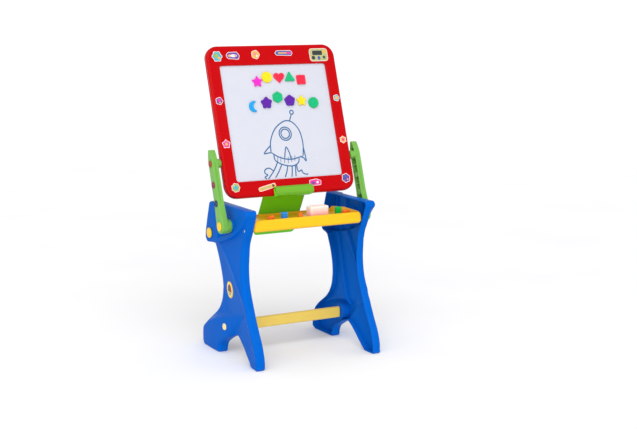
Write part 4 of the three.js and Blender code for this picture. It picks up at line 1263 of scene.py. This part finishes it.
def build_tray():
    loop = tray_loop(0, 0, 0, 12, 6)
    well = tray_loop(3.2, 11, 3.2, 9, 5)
    hollow = tray_loop(3.4, 8, 3.4, 8, 4)
    over = edge_rings(loop, [14 * share for share in (0.02, 0.05, 0.1, 0.18, 0.28, 0.4, 0.55)])
    over += edge_rings(well, (0.0, 0.25, 0.5, 0.8, 1.4, 2.4, 3.6, 5.2, 6.6)) + [well]
    for distance in (0.3, 1.0, 2.0, 3.2):
        ends = 3.2 - distance * 0.6
        over += edge_rings(tray_loop(ends, 11 - distance, ends, 9, 5), (0.0,))
    for x, offsets in ((TRAY_END - 13, (-11, -9, -6, -3, 0)), (-TRAY_END + 13, (0, 3, 6, 9, 11))):
        over += beside(np.array([(x, TRAY_FRONT), (x, TRAY_FRONT + 24)]), offsets, loop)
    under = edge_rings(loop, (0.3, 0.8, 1.5, 3, 5, 7)) + edge_rings(hollow, (0.0, 0.7, 1.5)) + [hollow]
    for at in TRAY_RIBS:
        under += beside(np.array([(at, TRAY_FRONT), (at, TRAY_REAR)], float), BESIDE_RIB, hollow, 5)
    under += beside(np.array([(-TRAY_END, TRAY_CROSS_RIB), (TRAY_END, TRAY_CROSS_RIB)]), BESIDE_RIB, hollow, 5)
    walls = ([(share, 0.0) for share in (0.12, 0.3, 0.5, 0.7, 0.88)], lambda points: np.ones(len(points)))
    shape = relief(loop, lambda p: tray_top(p, loop, well), lambda p: tray_bottom(p, loop, hollow), floor_place,
                   3.0, over, under, walls=walls, spacing=9)
    piece("tray_shell", shape, YELLOW, "stand", "tray_yellow", "tray", sharp=45)


def standing(x, y, height, turn):
    """A place for a block that stands in the tray, turned by that many radians."""
    c, s = math.cos(turn), math.sin(turn)

    def place(p):
        return np.c_[x + p[:, 0] * c - p[:, 1] * s, y + p[:, 0] * s + p[:, 1] * c, height + p[:, 2]] * MM
    return place


def lying(x, y, height, turn):
    """A place for a stick that lies in the tray: its length runs right, turned by that many radians."""
    place = standing(x, y, height, turn)
    return lambda p: place(p[:, (2, 0, 1)])


TRAY_TOP = TRAY_FLOOR + 0.3


def build_chalk(name, place, length, radius, material, worn, *nodes):
    """A chalk stick along its place's height. One end is rubbed to a slant: worn is 1 for the high end."""
    half = length / 2
    profile = [(0.0, -half), (radius * 0.82, -half), (radius * 0.96, -half + 0.8), (radius, -half + 2)]
    profile += [(radius * (1 - 0.03 * i / 6), -half + 2 + (length - 5) * i / 6) for i in range(1, 6)]
    profile += [(radius * 0.95, half - 2.4), (radius * 0.85, half - 1.0), (radius * 0.6, half), (0.0, half)]
    profile = [(r, h * worn) for r, h in profile]
    stick = piece(name, lathe(profile, place, 0, 0, 28), material, "stand", "chalk_orange", *nodes)
    slant = np.array([(-1.5, 0.1), (1.5, 0.4), (1.5, 2), (-1.5, 2)]) * radius
    rings = [place(raised(slant * (1, 1 - 0.5 * k), (half - 5 + 7 * k) * worn)) for k in (0.0, 1.0)]
    return carved(stick, loft(rings))


def build_heap(name, x, y, length, radius, turn):
    """Three chalks in a heap: two side by side and one on top. The first stands for the CAD's heap."""
    apart = radius * 0.98
    c, s = math.cos(turn), math.sin(turn)
    spots = [(-apart, 0, ORANGE_CHALK, -1, [name]), (apart, 0, DARK_ORANGE_CHALK, 1, []),
             (0, apart * 1.74, ORANGE_CHALK, -1, [])]
    for i, (across, up, material, worn, nodes) in enumerate(spots):
        place = lying(x - across * s, y + across * c, TRAY_TOP + radius + up, turn)
        build_chalk(f"{name}_stick_{i + 1}", place, length, radius, material, worn, *nodes)


def build_brick(name, x, y, width, depth, height, turn, material):
    """A small plastic block with a dished top and a groove round it."""
    place = standing(x, y, TRAY_TOP, turn)
    levels = [(0, 0.8), (0.3, 0.2), (0.9, 0), (height - 7, 0), (height - 6.6, 0.5), (height - 5.6, 0.5),
              (height - 5.2, 0), (height - 1.2, 0), (height - 0.4, 0.3), (height, 1.1), (height, 2.2),
              (height - 0.9, 3.0), (height - 1.0, 4.5)]
    rings = [place(raised(rounded_rect(width - 2 * shrink, depth - 2 * shrink, 2.0, 0, 0, 6, 3), level))
             for level, shrink in levels]
    piece(name + "_block", loft(rings), material, "stand", name, name)


def build_contents():
    build_heap("chalk_orange_left", -104, -80, 24, 6.6, 0.5)
    build_heap("chalk_orange_middle", -6, -78, 24, 6.6, 1.1)
    build_heap("chalk_orange_right", 156, -58, 28, 5, 0.15)
    build_brick("brick_blue", -58, -76, 17, 13, 30, 0.1, BRICK_BLUE)
    build_brick("brick_green", 128, -64, 17, 15, 30, -0.1, BRICK_GREEN)
    eraser = plate(rounded_rect(62, 32, 6), 0, 40, standing(56, -68, TRAY_TOP, 0.04), 4.0, 2.2, 5, -0.8)
    block = soft_block("eraser_rubber", (TRAY_TOP + 4) * MM, (TRAY_TOP + 38) * MM)
    piece("eraser_block", eraser, block, "stand", "eraser_pink", "eraser")


# ---------- cross parts ----------

def build_crossbar():
    """A bar between the legs, with soft edges and a groove near each end."""
    depth, height = 16.0, 33.0
    right = [(60, 0), (120, 0), (168, 0), (169, 0.9), (171, 0.9), (172, 0), (176, 0), (178, 0.4), (178.5, 1.2),
             (178.7, 3.0)]
    rings = []
    for x, shrink in [(-x, shrink) for x, shrink in reversed(right)] + [(0, 0)] + right:
        ring = rounded_rect(depth - 2 * shrink, height - 2 * shrink, 5.5, *BAR_HOLE, 7, 4)
        rings.append(across_place(raised(ring, x)))
    piece("crossbar_shell", loft(rings), BAR_YELLOW, "stand", "bar_yellow", "crossbar", sharp=30)


def build_rod():
    """A steel rod with a groove near each end."""
    end = 218.7
    right = [(5, 100), (5, end - 6), (4.6, end - 5.6), (4.6, end - 4.4), (5, end - 4), (5, end - 0.8),
             (4.2, end), (0, end)]
    profile = [(radius, -x) for radius, x in reversed(right)] + [(5, 0)] + right
    piece("hinge_rod", lathe(profile, across_place, *ROD_HOLE, 28), STEEL, "stand", "steel", "rear_rod")


STAY_HALF = 70.0
STAY_TOP = 140.0
STAY_DOWN = 28.0
STAY_LEAN = math.atan2(0.497, 0.868)
STAY_RIBS = (-STAY_HALF + 12, 0, STAY_HALF - 12)
SLEEVE_BORE = 5.5


def stay_place(p):
    """Plan (right, up the stay from its rod) and height towards the board."""
    s, c = math.sin(STAY_LEAN), math.cos(STAY_LEAN)
    return np.c_[p[:, 0], ROD_HOLE[0] - p[:, 1] * s - p[:, 2] * c, ROD_HOLE[1] + p[:, 1] * c - p[:, 2] * s] * MM


def build_stay():
    """A plate whose long edges curl back, ribbed behind, with a sleeve round the rod."""
    loop = divided(rounded_ends(STAY_HALF, -STAY_DOWN, STAY_TOP, 14, 6, 10, 7), 3.0)

    def curl(p):
        side = np.clip((np.abs(p[:, 0]) - STAY_HALF + 13) / 13, 0, 1)
        low = np.clip((-p[:, 1] - STAY_DOWN + 12) / 12, 0, 1)
        return 5.5 * (1 - np.sqrt(1 - 0.96 * side * side)) + 3.0 * (1 - np.sqrt(1 - 0.96 * low * low))

    def top(p):
        return 2.0 - curl(p) - rounding(off_edge(p, loop), 1.2)

    def bottom(p):
        base = -2.0 - curl(p)
        along = (1 - ease((p[:, 1] - STAY_TOP + 26) / 8), ease((p[:, 1] - 2) / 6))
        for x in STAY_RIBS:
            base = blend(base, -8.8, (1 - ease((np.abs(p[:, 0] - x) - 1.4) / 1.0)) * along[0] * along[1])
        return base + rounding(off_edge(p, loop), 1.0)

    over = [row for x in (-60.0, 60.0)
            for row in beside(np.array([(x, -STAY_DOWN), (x, STAY_TOP)]), (-7, -4, -2, 0, 2, 4, 6, 8), loop, 5)]
    under = list(over)
    for x in STAY_RIBS:
        under += beside(np.array([(x, -4.0), (x, STAY_TOP - 16)]), (-2.4, -1.9, -1.4, 1.4, 1.9, 2.4), loop, 4)
    panel = relief(loop, top, bottom, stay_place, 3.0, over, under, edge=1.2, spacing=8)
    half = STAY_HALF - 0.5
    section = [(SLEEVE_BORE, -half), (8.6, -half), (9, -half + 0.5), (9, half - 0.5), (8.6, half),
               (SLEEVE_BORE, half)]
    sleeve = loft([across_place(raised(circle(*ROD_HOLE, radius, 32), x)) for radius, x in section],
                  closed_path=True)
    piece("stay_panel", joined([panel, sleeve]), GREEN, "stay", "stay_green", "stay_plate", sharp=45)


# ---------- setting ----------

def build_floor():
    """A pale round studio floor whose far rim sweeps up like paper."""
    n = Nodes("studio_paper")
    n.vary(Base_Color=n.ramp(n.noise(1.5, 3), (0.3, linear(242, 242, 243)), (0.7, linear(246, 246, 246))))
    n.set(Roughness=0.9, Specular_IOR_Level=0.2)
    flat, sweep, count, drop = 7.0, 2.0, 96, 0.0006
    profile = [(0.4, 0), (1, 0), (2, 0), (4, 0), (flat, 0)]
    profile += [(flat + sweep * math.sin(a), sweep * (1 - math.cos(a)))
                for a in np.radians(np.arange(9, 91, 9))]
    rings = [raised(circle(0, 0, radius, count), height - drop) for radius, height in profile]
    verts, faces = loft(rings, caps=False)
    faces = [tuple(reversed(face)) for face in faces] + [tuple(range(count))]
    mesh = bpy.data.meshes.new("studio_floor")
    mesh.from_pydata([tuple(v) for v in verts], [], faces)
    mesh.shade_smooth()
    mesh.materials.append(n.material)
    floor = added("studio_floor", mesh)


def put_light(light, spot, aim):
    obj = added(light.name, light)
    obj.location = spot
    obj.rotation_euler = (Vector(aim) - Vector(spot)).to_track_quat("-Z", "Y").to_euler()


def area_light(name, spot, aim, width, height, power):
    light = bpy.data.lights.new(name, "AREA")
    light.shape = "RECTANGLE"
    light.size, light.size_y = width, height
    light.energy = power
    put_light(light, spot, aim)


def build_setting():
    build_floor()
    world = bpy.data.worlds.new("studio")
    world.use_nodes = True
    background = world.node_tree.nodes["Background"]
    background.inputs["Color"].default_value = (0.99, 0.99, 1.0, 1)
    background.inputs["Strength"].default_value = 0.74
    bpy.context.scene.world = world
    key = bpy.data.lights.new("key", "SUN")
    key.energy = 1.55
    key.angle = math.radians(55)
    put_light(key, (-1.1, -2.5, 2.9), (0, 0, 0))
    area_light("low_fill", (-1.3, -3.2, 0.55), (0, 0, 0.4), 1.2, 0.8, 26)
    area_light("strip", (-2.4, -1.0, 0.9), (0, 0, 0.45), 0.2, 1.6, 6)


def build_camera():
    azimuth, drop = math.radians(29.304), math.radians(9.384)
    look = Vector((math.sin(azimuth) * math.cos(drop), math.cos(azimuth) * math.cos(drop), -math.sin(drop)))
    data = bpy.data.cameras.new("photo_view")
    data.lens = 74.1
    data.sensor_width = 36
    camera = added("photo_view", data)
    camera.location = (-1.801, -3.383, 1.038)
    camera.rotation_euler = look.to_track_quat("-Z", "Y").to_euler()
    bpy.context.scene.camera = camera
    bpy.context.scene.view_settings.view_transform = "Standard"


build_stand()
for side_name, side_sign in SIDES.items():
    build_arm(side_name, side_sign)
build_board()
build_tray()
build_contents()
build_crossbar()
build_rod()
build_stay()
build_setting()
build_camera()
